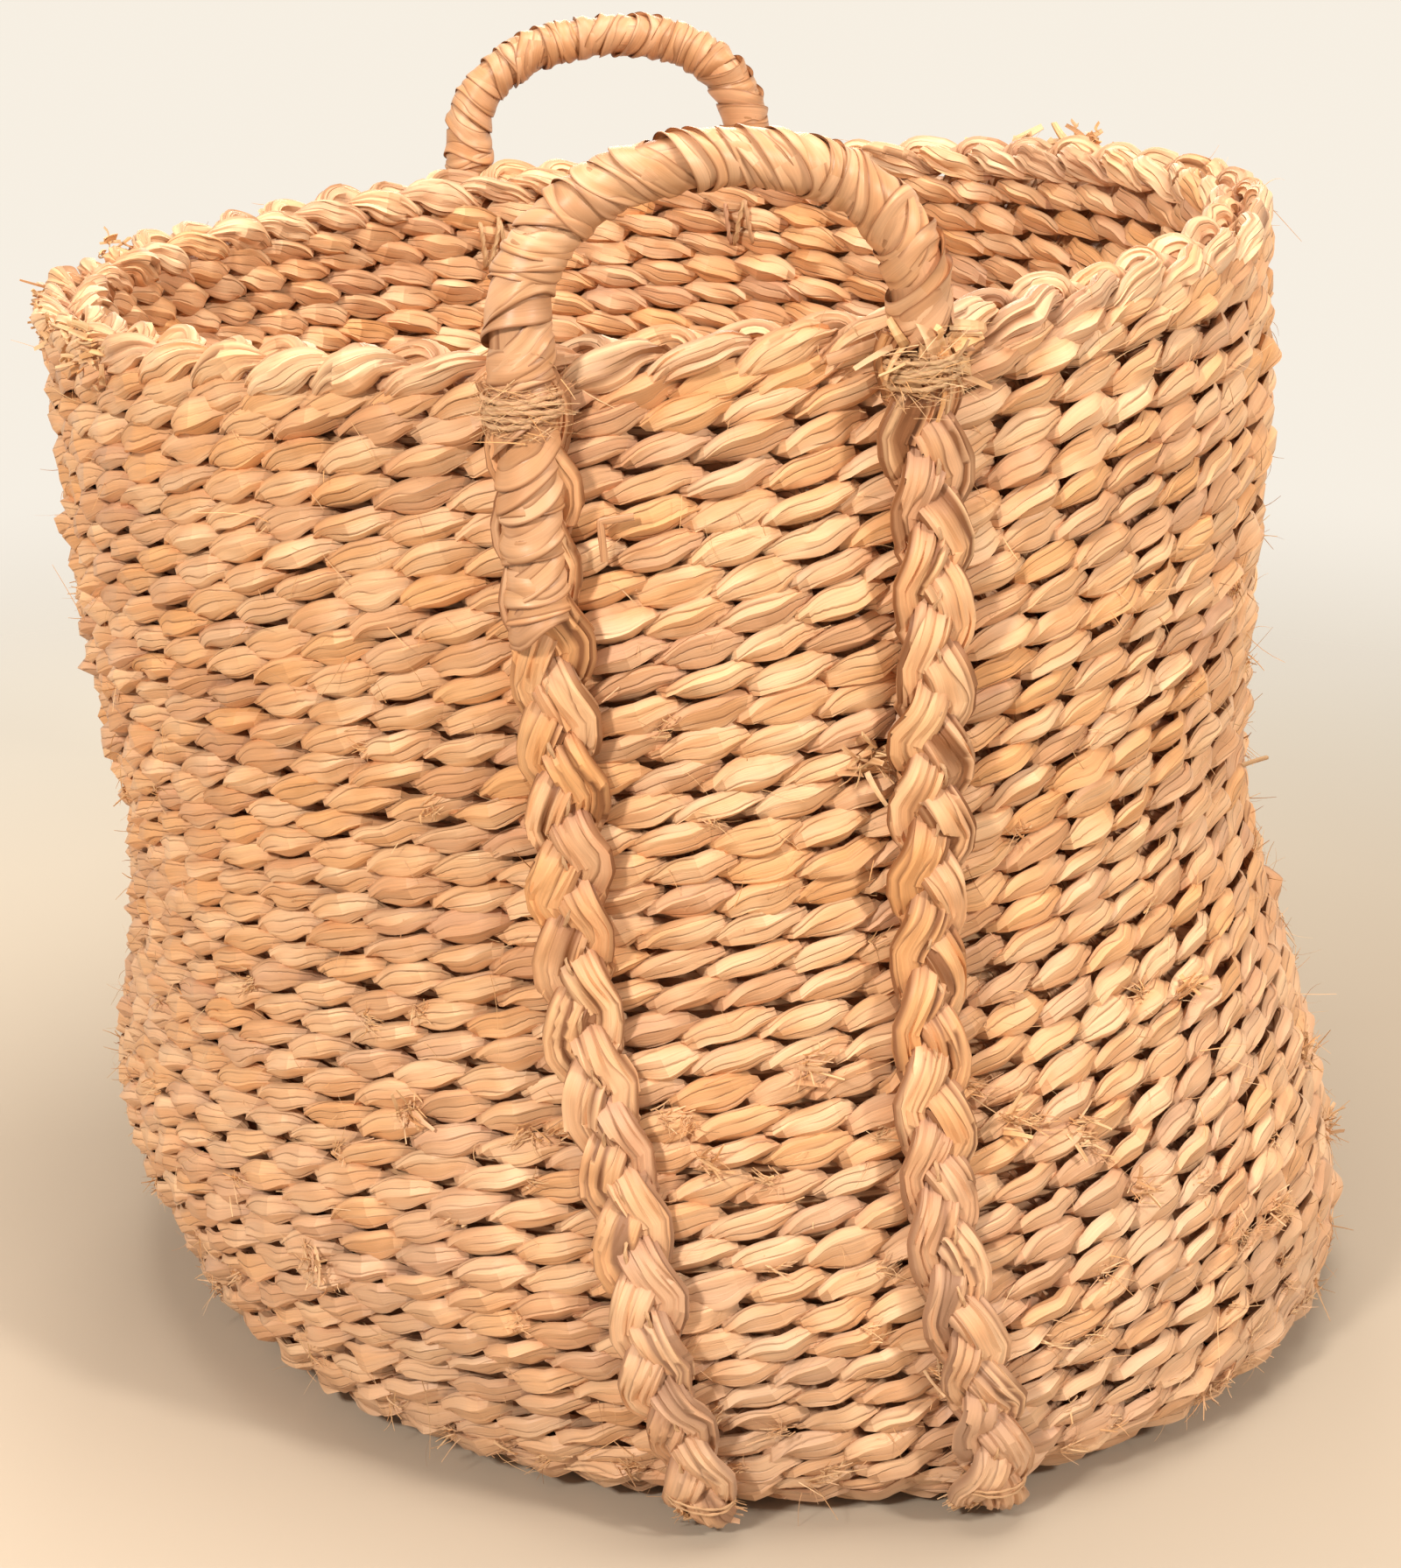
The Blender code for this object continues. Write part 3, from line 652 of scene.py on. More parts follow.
def braid_tree():
    """Three husk strands braided along a path.

    Each strand swings across the braid and dives once under and over the
    others. It lies flat inside the braid and turns to face out at each edge.
    """
    tree, given = new_tree("husk braid", {
        "Cycle": 0.076,
        "Swing": 0.0087,
        "Dive": -0.0028,
        "Lag": 0.2,
        "Fullness": 2.2,
        "Kink": 0.65,
        "Half width": 0.0060,
        "Half thickness": 0.0030,
        "Turn": 1.0,
        "Facing": 0.0,
        "Sharp corners": 0.0,
        "Narrowing": 0.46,
        "Unevenness": 1.0,
        "Waver": 0.0008,
        "Pleats": 0.0,
        "Pleat count": 8.0,
        "Groove shade": 0.0,
        "Ridges": 1.5,
        "Start": 0.0,
        "Ring spacing": 0.0026,
        "Sides": 6,
        "Peak": 1.3,
        "Lobes": 1.0,
        "Lobe shift": -0.57,
        "Seed": 1,
    })
    curve, length, mesh, share, spin = tube_nodes(tree, given)
    strands = tree.nodes.new("GeometryNodeJoinGeometry")
    for k in (2, 1, 0):
        tree.links.new(store(tree, mesh, "strand", float(k)), strands.inputs[0])

    # Where the point is in the braid, and the chances of its stretch of strand
    number = named_value(tree, "strand")
    place, _, out, up, fullness = sample_path(tree, curve, share)
    run = share * length + given("Start")
    waver = noise(tree, three(tree, run, 0.0, 0.0), 9.0) - 0.5
    dive_angle = (run / given("Cycle") + number / 3.0) * FULL_TURN + waver * given("Unevenness")
    angle = dive_angle - given("Lag")
    sine = angle.sin()
    cosine = angle.cos()
    edge = sine * sine
    lobe = (angle * given("Lobes") / FULL_TURN + given("Lobe shift")).floor()
    lobe = lobe + number * LOBES_PER_STRAND
    seed = given("Seed")
    dice_width = dice(tree, lobe, seed)
    dice_depth = dice(tree, lobe, seed + 1)
    dice_reach = dice(tree, lobe, seed + 2)
    dice_turn = dice(tree, lobe, seed + 3)
    dice_crest = dice(tree, lobe, seed + 4)
    dice_rise = dice(tree, lobe, seed + 6)
    uneven = edge * given("Unevenness")
    stray_turn = uneven * dice_turn * UNEVEN_TURN

    # Swing across the braid, dive under and over, and the strand's own directions
    sharp = given("Sharp corners")
    full = given("Fullness")
    bulge = (sine * full).math("TANH")
    soft_reach = bulge / full.math("TANH")
    progress = cosine * sine.sign() * -1.0
    bend = progress - (stray_turn + KINK_START)
    kink = bend.math("MAXIMUM", 0.0) - bend.math("MINIMUM", 0.0) * KINK_BACK_SHARE
    soft_reach = soft_reach * (1.0 - kink * given("Kink"))
    corner_reach = (sine * CORNER_POINT).math("ARCSINE") / math.asin(CORNER_POINT)
    reach = soft_reach + (corner_reach - soft_reach) * sharp
    reach = reach * given("Swing") * (uneven * dice_reach * UNEVEN_REACH + 1.0)
    slope = cosine * full * (1.0 - bulge * bulge)
    slope = slope + (cosine.sign() * CORNER_SLOPE - slope) * sharp
    dive = (dive_angle * 2.0).sin() + (dive_angle * 4.0).sin() * DIVE_OVERTONE
    dive = dive * given("Dive") + uneven * dice_rise * UNEVEN_RISE
    climb = ((dive_angle * 2.0).cos() * 2.0 + (dive_angle * 4.0).cos()) * given("Dive")
    pace = join_math(tree, "DIVIDE", FULL_TURN, given("Cycle"))
    along = up.cross(out)
    heading = (along + out * (slope * given("Swing") * pace) + up * (climb * pace)).unit()
    turn = cosine.sign() * cosine.size().power(FLAT_INSIDE_POWER) * (-0.5 * math.pi)
    turn = turn * given("Turn") + stray_turn + given("Facing") * 0.5 * math.pi
    facing = out * turn.cos() + up * turn.sin()
    facing = (facing - heading * facing.dot(heading)).unit()
    wide = facing.cross(heading)

    # The strand's section: its crest, ridges, pleats and width
    skew = spin + spin.sin() * (uneven * dice_crest * UNEVEN_CREST)
    across = skew.cos()
    side = (spin * given("Sides") / FULL_TURN).math("ROUND")
    ridge_place = three(tree, run * RIDGES_PER_METRE, side * 7.3, number * 31.0 + seed)
    ridge = noise(tree, ridge_place, 1.0, 0.0) - 0.5
    lift = skew.sin().sign() * skew.sin().size().power(given("Peak"))
    lift = lift * (ridge * given("Ridges") * 2.0 + 1.0)
    pleat = skew * (given("Pleat count") / FULL_TURN) + angle * PLEAT_TWIST + dice_crest * 3.0
    pleat = pleat + (skew * 2.0 + dice_crest * 9.0).sin() * PLEAT_SWAY
    leaf = dice(tree, pleat.floor() + lobe * 17.0, seed + 7, 0.25, 1.1)
    pleat = pleat.fraction() * leaf
    pleated = 1.0 - pleat * given("Pleats")
    # Painted shade in the groove of each pleat, where the section dips before the next leaf
    groove_shade = pleat.between(GROOVE_SHADE_START, GROOVE_SHADE_FULL) * given("Groove shade")
    half_wide = (1.0 - given("Narrowing") + edge * given("Narrowing")) * given("Half width")
    half_wide = half_wide * fullness * (uneven * dice_width * UNEVEN_WIDTH + 1.0) * pleated
    half_thick = fullness * given("Half thickness") * pleated
    half_thick = half_thick * (uneven * dice_depth * UNEVEN_DEPTH + 1.0)
    drift = (noise(tree, place, 14.0, colour=True) - (0.5, 0.5, 0.5)) * given("Waver") * 2.0
    target = (place + drift + out * reach * fullness + up * dive * fullness
              + wide * (half_wide * across) + facing * (half_thick * lift))

    # The husk value's third part is how far out the strand reaches; the finish paints shade where
    # it is low
    finish_tube(tree, given, strands.outputs[0], three(tree, run, across, soft_reach),
                dice(tree, lobe, seed + 5, 0.0, 1.0), target, BRAID_CREASE_ANGLE, groove_shade)
    return tree


def store(tree, mesh, name, value, kind="FLOAT", domain="POINT"):
    """Keep a value on the geometry under a name."""
    return add_node(tree, "GeometryNodeStoreNamedAttribute", {
        "Geometry": mesh, "Name": name, "Value": value}, data_type=kind, domain=domain).outputs[0]


def tube_nodes(tree, given):
    """A tube along the path, before it is shaped: its mesh, and where on it a point is."""
    curve = add_node(tree, "GeometryNodeMeshToCurve", {"Mesh": given("Geometry")}).outputs[0]
    length = Term(tree, add_node(tree, "GeometryNodeCurveLength", {"Curve": curve}).outputs[0])
    segments = (length / given("Ring spacing")).math("ROUND")
    tube = add_node(tree, "GeometryNodeMeshCylinder", {
        "Vertices": given("Sides"), "Side Segments": segments, "Radius": 1.0, "Depth": 1.0},
        fill_type="NGON")
    smooth = add_node(tree, "GeometryNodeSetShadeSmooth", {
        "Geometry": tube.outputs["Mesh"], "Selection": tube.outputs["Side"],
        "Shade Smooth": True})
    ends = add_node(tree, "FunctionNodeBooleanMath", {0: tube.outputs["Side"]}, operation="NOT")
    flat = add_node(tree, "GeometryNodeSetShadeSmooth", {
        "Geometry": smooth.outputs[0], "Selection": ends.outputs[0], "Shade Smooth": False})
    mesh = flat.outputs[0]
    own = Term(tree, tree.nodes.new("GeometryNodeInputPosition").outputs[0])
    share = own.part(2) + 0.5
    spin = own.part(1).math("ARCTAN2", own.part(0))
    return curve, length, mesh, share, spin


def finish_tube(tree, given, mesh, husk, tone, target, creased=None, groove_shade=None):
    """Store what the finish needs on a tube, move it into shape and crease sharp folds."""
    mesh = store(tree, mesh, "husk", husk, "FLOAT_VECTOR")
    mesh = store(tree, mesh, "tone", tone, domain="FACE")
    if groove_shade:
        mesh = store(tree, mesh, "groove_shade", groove_shade)
    mesh = add_node(tree, "GeometryNodeSetPosition", {
        "Geometry": mesh, "Position": target}).outputs[0]
    if creased:
        angle = Term(tree, add_node(tree, "GeometryNodeInputMeshEdgeAngle").outputs[0])
        mesh = add_node(tree, "GeometryNodeSetShadeSmooth", {
            "Geometry": mesh, "Selection": angle.math("GREATER_THAN", creased),
            "Shade Smooth": False}, domain="EDGE").outputs[0]
    close_tree(tree, mesh, given("Material"))


def strand_tree():
    """One strand along a path: a round twine with its plies, or a flat husk strip."""
    tree, given = new_tree("strand", {
        "Half width": 0.0009,
        "Half thickness": 0.0009,
        "Lay": 0.006,
        "Ply depth": 0.25,
        "Waver": 0.0006,
        "Crumple": 0.0,
        "Tone length": 1000.0,
        "Ring spacing": 0.0008,
        "Sides": 10,
        "Seed": 1,
    })
    curve, length, mesh, share, spin = tube_nodes(tree, given)
    place, tangent, out, _, fullness = sample_path(tree, curve, share)
    run = share * length
    side = out.cross(tangent).unit()
    twist = (spin * 2.0 - run / given("Lay") * FULL_TURN).cos()
    girth = (twist * given("Ply depth") + 1.0) * fullness
    fold = noise(tree, three(tree, run * 30.0, spin.cos() * 0.3, given("Seed")), 1.0, 0.0) * 3.0
    fold = ((fold + spin.cos() * 0.7).fraction() - 0.5).size() * 2.0 - 0.5
    shake = noise(tree, three(tree, run * 90.0, given("Seed"), 0.0), 1.0, colour=True)
    target = (place + (shake - (0.5, 0.5, 0.5)) * (given("Waver") * 2.0)
              + side * (spin.cos() * given("Half width") * girth)
              + out * (spin.sin() * given("Half thickness") * girth + fold * given("Crumple")))
    stretch = (run / given("Tone length")).floor() + given("Seed")
    plied = given("Ply depth").math("GREATER_THAN", 0.0)
    # The third husk value is the ply twist on a plied twine and 1 on a flat strip; the finish
    # paints shade where it is near 0
    finish_tube(tree, given, mesh, three(tree, run, spin.cos(), twist * plied + 1.0 - plied),
                dice(tree, stretch, 5, 0.0, 1.0), target, STRIP_CREASE_ANGLE)
    return tree


def wisp_tree():
    """Thin husk fibres, one from each point, tapering and bending to one side."""
    tree, given = new_tree("wisps", {
        "Sides": 3,
        "Segments": 5,
        "Flatness": 0.5,
        "Taper": 0.8,
    })
    rod = add_node(tree, "GeometryNodeMeshCylinder", {
        "Vertices": given("Sides"), "Side Segments": given("Segments"),
        "Radius": 1.0, "Depth": 1.0}, fill_type="NGON")
    own = Term(tree, tree.nodes.new("GeometryNodeInputPosition").outputs[0])
    rod = store(tree, rod.outputs["Mesh"], "own", own, "FLOAT_VECTOR")
    planted = add_node(tree, "GeometryNodeInstanceOnPoints", {
        "Points": given("Geometry"), "Instance": rod})
    real = add_node(tree, "GeometryNodeRealizeInstances", {"Geometry": planted.outputs[0]})
    here = Term(tree, tree.nodes.new("GeometryNodeInputPosition").outputs[0])
    local = named_value(tree, "own", "FLOAT_VECTOR")
    heading = named_value(tree, "heading", "FLOAT_VECTOR")
    bend = named_value(tree, "bend", "FLOAT_VECTOR")
    length = named_value(tree, "length")
    girth = named_value(tree, "girth")
    number = named_value(tree, "number")
    share = local.part(2) + 0.5
    side = heading.cross(bend + heading * 0.1 + (0.013, 0.007, 0.011)).unit()
    other = heading.cross(side)
    thin = girth * (1.0 - share * given("Taper"))
    target = (here - local + heading * (length * share) + bend * (length * share * share)
              + side * (local.part(0) * thin)
              + other * (local.part(1) * thin * given("Flatness")))
    finish_tube(tree, given, real.outputs[0],
                three(tree, share * length, local.part(0), 1.0),
                dice(tree, number, 3, 0.0, 1.0), target)
    return tree


# Materials
SHARED = {}


def new_group(name, defaults, outputs):
    """A shader node group with named inputs and outputs."""
    tree = bpy.data.node_groups.new(name, "ShaderNodeTree")
    add_inputs(tree, defaults)
    for socket_name, kind in outputs:
        tree.interface.new_socket(socket_name, in_out="OUTPUT", socket_type=kind)
    entry = tree.nodes.new("NodeGroupInput")
    leave = tree.nodes.new("NodeGroupOutput")
    return tree, {s.name: Term(tree, s) for s in entry.outputs if s.name}, leave


def mix_colour(tree, share, first, second, kind="MIX"):
    node = add_node(tree, "ShaderNodeMix", data_type="RGBA", blend_type=kind)
    sockets = {s.identifier: s for s in node.inputs}
    plug(tree, share, sockets["Factor_Float"])
    plug(tree, first, sockets["A_Color"])
    plug(tree, second, sockets["B_Color"])
    return Term(tree, next(s for s in node.outputs if s.identifier == "Result_Color"))


def stored(tree, name, output):
    """A value that the geometry carries, read in a material."""
    node = add_node(tree, "ShaderNodeAttribute", attribute_name=name)
    return Term(tree, node.outputs[output])


def husk_group():
    """Dried husk leaf: tones, long fold lines, fine fibres, and painted shade in the hollows,
    along the strands' sides and in the pleats' grooves, with a little painted shade and light
    across each leaf; the hollows are also duller.
    """
    number = "NodeSocketFloat"
    tree, given, leave = new_group("husk leaf", {
        "Pale": (0.88, 0.56, 0.31, 1.0),
        "Tan": (0.74, 0.39, 0.18, 1.0),
        "Warm": (0.78, 0.37, 0.13, 1.0),
        "Dusky and shade": (0.52, 0.27, 0.16, 1.0),
        "Seam": (0.25, 0.095, 0.033, 1.0),
        "Folds": 3.0,
        "Fold drift": 0.25,
        "Fibres": 1.0,
        "Edges": 0.5,
        "Gloss": 0.0,
    }, (("Color", "NodeSocketColor"), ("Height", number), ("Roughness", number)))
    husk = stored(tree, "husk", "Vector")
    tone = stored(tree, "tone", "Fac")
    run, across, edge = husk.part(0), husk.part(1), husk.part(2)
    # Long folds, with a dark line where one leaf ends and the next begins
    wander = noise(tree, three(tree, run * 42.0, across * 0.5, tone * 61.0), 1.0, 1.0) - 0.5
    folds = (across * 0.5 + wander * given["Fold drift"] * 2.0) * given["Folds"] + tone * 17.0
    fold = folds.floor()
    step = folds.fraction()
    patchy = noise(tree, three(tree, run * 55.0, fold * 3.1, tone * 37.0), 1.0, 1.0)
    line = (step.between(0.0, 0.13, 1.0, 0.0) + step.between(0.94, 1.0))
    line = line * patchy.between(0.38, 0.56) * given["Folds"].math("MINIMUM", 1.0)
    # Fine fibres and the tone of each leaf
    fibre = noise(tree, three(tree, run * 40.0, across * 11.0, tone * 23.0), 1.0, 3.0, 0.65)
    broad = noise(tree, three(tree, run * 30.0, across * 0.8, tone * 91.0), 1.0, 1.0)
    random_tone = (tone * 7.31).fraction()
    second_tone = (tone * 23.7).fraction()
    leaf_tone = ((fold * 0.377 + tone * 5.3) * 12.9).sin() * 0.5 + 0.5
    base = mix_colour(tree, broad.between(0.35, 0.65), given["Pale"], given["Tan"])
    base = mix_colour(tree, random_tone.between(0.5, 1.0, 0.0, 0.7), base, given["Warm"])
    # Painted shade: the husk is painted duskier where the strand sinks into the braid away from
    # its edge, on top of the random dusky leaves and folds
    hollow_shade = edge.size().between(0.15, 0.75, 1.0, 0.0)
    dusk_and_shade = second_tone.between(0.55, 1.0, 0.0, 0.5) + leaf_tone.between(0.6, 1.0, 0.0, 0.25)
    dusk_and_shade = (dusk_and_shade + hollow_shade * 0.5).math("MINIMUM", 1.0)
    base = mix_colour(tree, dusk_and_shade, base, given["Dusky and shade"])
    shade = (fibre - 0.5) * given["Fibres"] * 0.6 + (leaf_tone - 0.5) * 0.16 + 1.0
    # Painted shade and light: each leaf is a little darker at its low side, where it starts under
    # the edge of the leaf before, and lighter at its raised side
    base = base * (shade * (step * 0.12 + 0.94))
    # Painted shade along both sides of each strand, where it meets and tucks under its neighbours
    edge_shade = across.size().between(0.84, 1.0) * given["Edges"]
    # Painted shade in the pleats' grooves, in the seam colour like the fold lines
    groove_shade = stored(tree, "groove_shade", "Fac")
    dark = (line * LINE_DARKNESS).math("MAXIMUM", edge_shade)
    dark = dark.math("MAXIMUM", groove_shade * GROOVE_SHADE_DARKNESS)
    # The seam colour paints the fold lines and the painted shade at the strands' sides and in the
    # grooves
    base = mix_colour(tree, dark, base, given["Seam"])
    height = step * 0.5 + fibre * 0.35 - line * 0.6
    plug(tree, base, leave.inputs["Color"])
    plug(tree, height, leave.inputs["Height"])
    rough = fibre * 0.25 + hollow_shade * 0.15 + 0.36
    plug(tree, rough - given["Gloss"], leave.inputs["Roughness"])
    return tree


def dust_group():
    """Floor dust: the husk is greyer and pinker low down, in soft patches."""
    tree, given, leave = new_group("floor dust", {
        "Color": (0.8, 0.5, 0.3, 1.0),
        "Dust": (0.55, 0.37, 0.255, 1.0),
        "Amount": 0.75,
        "Reach": 0.24,
    }, (("Color", "NodeSocketColor"),))
    place = Term(tree, add_node(tree, "ShaderNodeTexCoord").outputs["Object"])
    low = place.part(2).between(0.0, given["Reach"], 1.0, 0.0)
    patch = noise(tree, place, 16.0, 3.0, 0.6).between(0.35, 0.65)
    share = low * (patch * 0.7 + 0.3) * given["Amount"]
    plug(tree, mix_colour(tree, share, given["Color"], given["Dust"]), leave.inputs["Color"])
    return tree


def new_material(name):
    """A material with nodes: itself, its tree and its main shader."""
    material = bpy.data.materials.new(name)
    material.use_nodes = True
    return material, material.node_tree, material.node_tree.nodes["Principled BSDF"]


def husk_material(name, values, bump=0.7, dust=0.75):
    """A husk finish: the shared leaf and dust groups with this finish's own colours."""
    material, tree, shader = new_material(name)
    leaf = add_node(tree, "ShaderNodeGroup", node_tree=SHARED["leaf group"])
    for key, value in values.items():
        leaf.inputs[key].default_value = value
    dusty = add_node(tree, "ShaderNodeGroup", node_tree=SHARED["dust group"])
    dusty.inputs["Amount"].default_value = dust
    dusty.inputs["Dust"].default_value = tuple(bpy.context.scene.basket_colours.dust)
    plug(tree, leaf.outputs["Color"], dusty.inputs["Color"])
    relief = add_node(tree, "ShaderNodeBump", {
        "Height": leaf.outputs["Height"], "Strength": bump, "Distance": RELIEF_DEPTH})
    plug(tree, dusty.outputs["Color"], shader.inputs["Base Color"])
    plug(tree, leaf.outputs["Roughness"], shader.inputs["Roughness"])
    plug(tree, relief.outputs[0], shader.inputs["Normal"])
    shader.inputs["Specular IOR Level"].default_value = HUSK_SHINE
    return material


def mix_finishes(colours):
    """The finishes of all the pieces, from the colours in the scene's settings."""
    seam = tuple(colours.seam)
    common = {"Pale": tuple(colours.pale), "Tan": tuple(colours.tan), "Seam": seam}
    SHARED["husk"] = husk_material("braided husk", common)
    SHARED["rim husk"] = husk_material("rim husk", {
        **common, "Pale": tuple(colours.rim_pale), "Tan": tuple(colours.rim_tan),
        "Folds": 4.0})
    SHARED["leg husk"] = husk_material("leg husk", {
        "Pale": tuple(colours.leg_pale), "Tan": tuple(colours.leg_tan), "Seam": seam,
        "Folds": 2.0, "Fold drift": 0.3, "Edges": 1.0})
    SHARED["ribbon"] = husk_material("husk ribbon", {
        "Pale": tuple(colours.ribbon_pale), "Tan": tuple(colours.ribbon_tan), "Seam": seam,
        "Warm": (0.62, 0.30, 0.13, 1.0), "Dusky and shade": (0.46, 0.22, 0.11, 1.0), "Folds": 1.6,
        "Fold drift": 0.5, "Fibres": 0.7, "Edges": 1.0, "Gloss": 0.08}, bump=0.3, dust=0.0)
    SHARED["twine"] = husk_material("jute twine", {
        "Pale": tuple(colours.twine), "Tan": (0.54, 0.33, 0.155, 1.0),
        "Warm": (0.50, 0.30, 0.13, 1.0), "Folds": 0.0, "Fibres": 2.0, "Edges": 0.0}, dust=0.0)
    SHARED["fray"] = husk_material("frayed husk", {
        "Pale": tuple(colours.fray), "Tan": (0.56, 0.32, 0.14, 1.0), "Folds": 0.0,
        "Edges": 0.0}, bump=0.2, dust=0.4)


# Coil and rim
BASE_FIRST_LEVEL = 0.5
COIL_SINK = 0.0008
WALL_PARTS = 6
FINE_RINGS = 0.0026
COARSE_RINGS = 0.0050
COIL_POINTS_PER_LOOP = 72
SEWING_POINTS_PER_LOOP = 60
RIM_POINTS = 96


def course_point(level):
    """Middle of the coiled braid at a level, with its directions."""
    azimuth = level * FULL_TURN
    low, _, low_out, _ = surface_frame(walk_of_level(level), azimuth)
    high, _, high_out, _ = surface_frame(walk_of_level(min(level + 1.0, TOP_LEVEL)), azimuth)
    out = (low_out + high_out).normalized()
    up = (high - low).normalized()
    return 0.5 * (low + high) - out * (0.5 * WALL_THICKNESS + COIL_SINK), out, up, 1.0


def even_steps(low, high, count):
    """Even steps from low to high, both ends kept."""
    return [low + (high - low) * k / count for k in range(count + 1)]


def coil_path(first, last):
    """The middle of the coiled braid from one level to another."""
    count = round((last - first) * COIL_POINTS_PER_LOOP)
    return [course_point(level) for level in even_steps(first, last, count)]


def sewing_path(first, last):
    """The line between each course and the next, down the middle of the wall."""
    path = []
    for level in even_steps(first, last, round((last - first) * SEWING_POINTS_PER_LOOP)):
        place, _, out, climb = surface_frame(walk_of_level(level), level * FULL_TURN)
        path.append((place - out * 0.5 * WALL_THICKNESS, out, climb, 1.0))
    return path


class BASKET_OT_coil(bpy.types.Operator):
    """Coil the husk braid from the middle of the base, round the heel and up the wall"""
    bl_idname = "basket.coil"
    bl_label = "Coil the braid"

    def execute(self, context):
        sizes = context.scene.basket_sizes
        start = 0.0
        stretches = [
            ("coil_base_braid", BASE_FIRST_LEVEL, BASE_COURSES, COARSE_RINGS, "coil_base"),
            ("coil_heel_braid", BASE_COURSES, WALL_LEVEL, FINE_RINGS, "coil_heel"),
        ]
        levels = even_steps(WALL_LEVEL, TOP_LEVEL, WALL_PARTS)
        for k, (low, high) in enumerate(zip(levels, levels[1:])):
            stretches.append((f"coil_wall_braid_{k + 1}", low, high, FINE_RINGS, "coil_wall"))
        for name, first, last, spacing, node in stretches:
            path = coil_path(first, last)
            piece = run_tree(name, path_mesh(path), SHARED["braid"], {
                **COIL_BRAID, "Material": SHARED["husk"], "Cycle": sizes.braid_cycle,
                "Start": start, "Ring spacing": spacing})
            start += path_length(path)
            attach(piece, "basket")
            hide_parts(node)
        sewing = lay_twine("coil_sewing_twine", sewing_path(BASE_COURSES + 1.0, TOP_LEVEL),
                           SEWING_SEED, sizes.sewing_radius, **SEWING_TWINE)
        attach(sewing, "basket")
        return {"FINISHED"}


class BASKET_OT_rim(bpy.types.Operator):
    """Lay the stouter braid that tops the wall"""
    bl_idname = "basket.rim"
    bl_label = "Lay the rim braid"

    def execute(self, context):
        path = []
        walk = RIM_WALK - 0.5 * RIM_BRAID_THICKNESS
        for k in range(RIM_POINTS + 1):
            place, _, out, climb = surface_frame(walk, FULL_TURN * (k / RIM_POINTS))
            path.append((place - out * (0.5 * RIM_BRAID_WIDTH), out, climb, 1.0))
        piece = run_tree("rim_braid", path_mesh(path), SHARED["braid"], {
            **RIM_BRAID, "Material": SHARED["rim husk"],
            "Cycle": context.scene.basket_sizes.rim_cycle})
        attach(piece, "basket")
        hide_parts("coil_rim_course")
        return {"FINISHED"}


# Handles
HANDLES = (
    ("front", {"left": FRONT_LEFT_FACET, "right": FRONT_RIGHT_FACET}, FRONT_ARCH_RISE),
    ("back", {"left": BACK_RIGHT_FACET, "right": BACK_LEFT_FACET}, BACK_ARCH_RISE),
)
LEG_SINK = 0.0012
CHORD_SHARE = 1.0 - math.cos(0.5 * FACET)
LEG_OVERRUN = 0.004
ARCH_POINTS = 64
PATH_STEP = 0.006


def each_leg():
    """The four legs: handle, side, facet of the wall and how their nodes' names begin."""
    for name, facets, _ in HANDLES:
        for side in ("left", "right"):
            yield name, side, facets[side], f"{name}_handle_{side}_"


def leg_frame(walk, facet):
    """Where a leg lies on the wall, with the directions along, out and up."""
    place, along, out, climb = surface_frame(walk, (facet + 0.5) * FACET)
    share = (LEG_TOP_WALK - walk) / (LEG_TOP_WALK - LEG_END_WALK)
    drift = smooth_through(DRIFT_SHARES, LEG_DRIFTS[facet], share)
    return place - out * LEG_SINK + along * drift, along, out, climb


def steps_between(low, high, step):
    """Even steps of about one size from low to high, both ends kept."""
    return even_steps(low, high, round((high - low) / step))


def arch_line(facets, rise):
    """Centre line of an arch: its points, fullness, outward side and rising direction."""
    feet = []
    for side in ("left", "right"):
        azimuth = (facets[side] + 0.5) * FACET
        place, _, out, _ = surface_frame(RIM_WALK, azimuth)
        sagitta = RIM_HALF_WIDTH * CHORD_SHARE
        feet.append(place + out * (SEAT_GAP + ARCH_FOOT_RADIUS - sagitta) + UP * HINGE_ABOVE_RIM)
    left, right = feet
    axis = (right - left).normalized()
    across = axis.cross(UP).normalized()
    rising = across.cross(axis).normalized()
    if across.dot(out) < 0.0:
        across = -across
    middle = 0.5 * (left + right)
    half_span = 0.5 * (right - left).length
    points = []
    power = 2.0 / ARCH_SQUARENESS
    for k in range(ARCH_POINTS + 1):
        angle = math.pi * (1.0 - k / ARCH_POINTS)
        side = math.copysign(abs(math.cos(angle)) ** power, math.cos(angle))
        up = abs(math.sin(angle)) ** power
        radius = ARCH_FOOT_RADIUS + (ARCH_TOP_RADIUS - ARCH_FOOT_RADIUS) * up
        points.append((middle + axis * (half_span * side) + rising * (rise * up),
                       radius / ARCH_FOOT_RADIUS))
    return points, across, rising


def handle_line(facets, arch, across, rising):
    """Line of a wrapped leg and its arch: points with directions and fullness."""
    places = []
    for walk in steps_between(WRAP_END_WALK, LEG_TOP_WALK - WRAP_TOP_GAP, PATH_STEP):
        place, _, out, _ = leg_frame(walk, facets["left"])
        places.append((place + out * (SEAT_GAP + 0.5 * LEG_TOP_DEPTH), WRAPPED_LEG_FULLNESS,
                       out))
    places += [(place, fullness, across) for place, fullness in arch]
    end = arch[-1][0]
    places += [(end - rising * drop, fullness, across) for drop, fullness in WRAP_TAIL]
    path = []
    last = len(places) - 1
    for k, (place, fullness, outward) in enumerate(places):
        ahead = (places[min(k + 1, last)][0] - places[max(k - 1, 0)][0]).normalized()
        out = (outward - ahead * outward.dot(ahead)).normalized()
        path.append((place, out, out.cross(ahead), fullness))
    return path


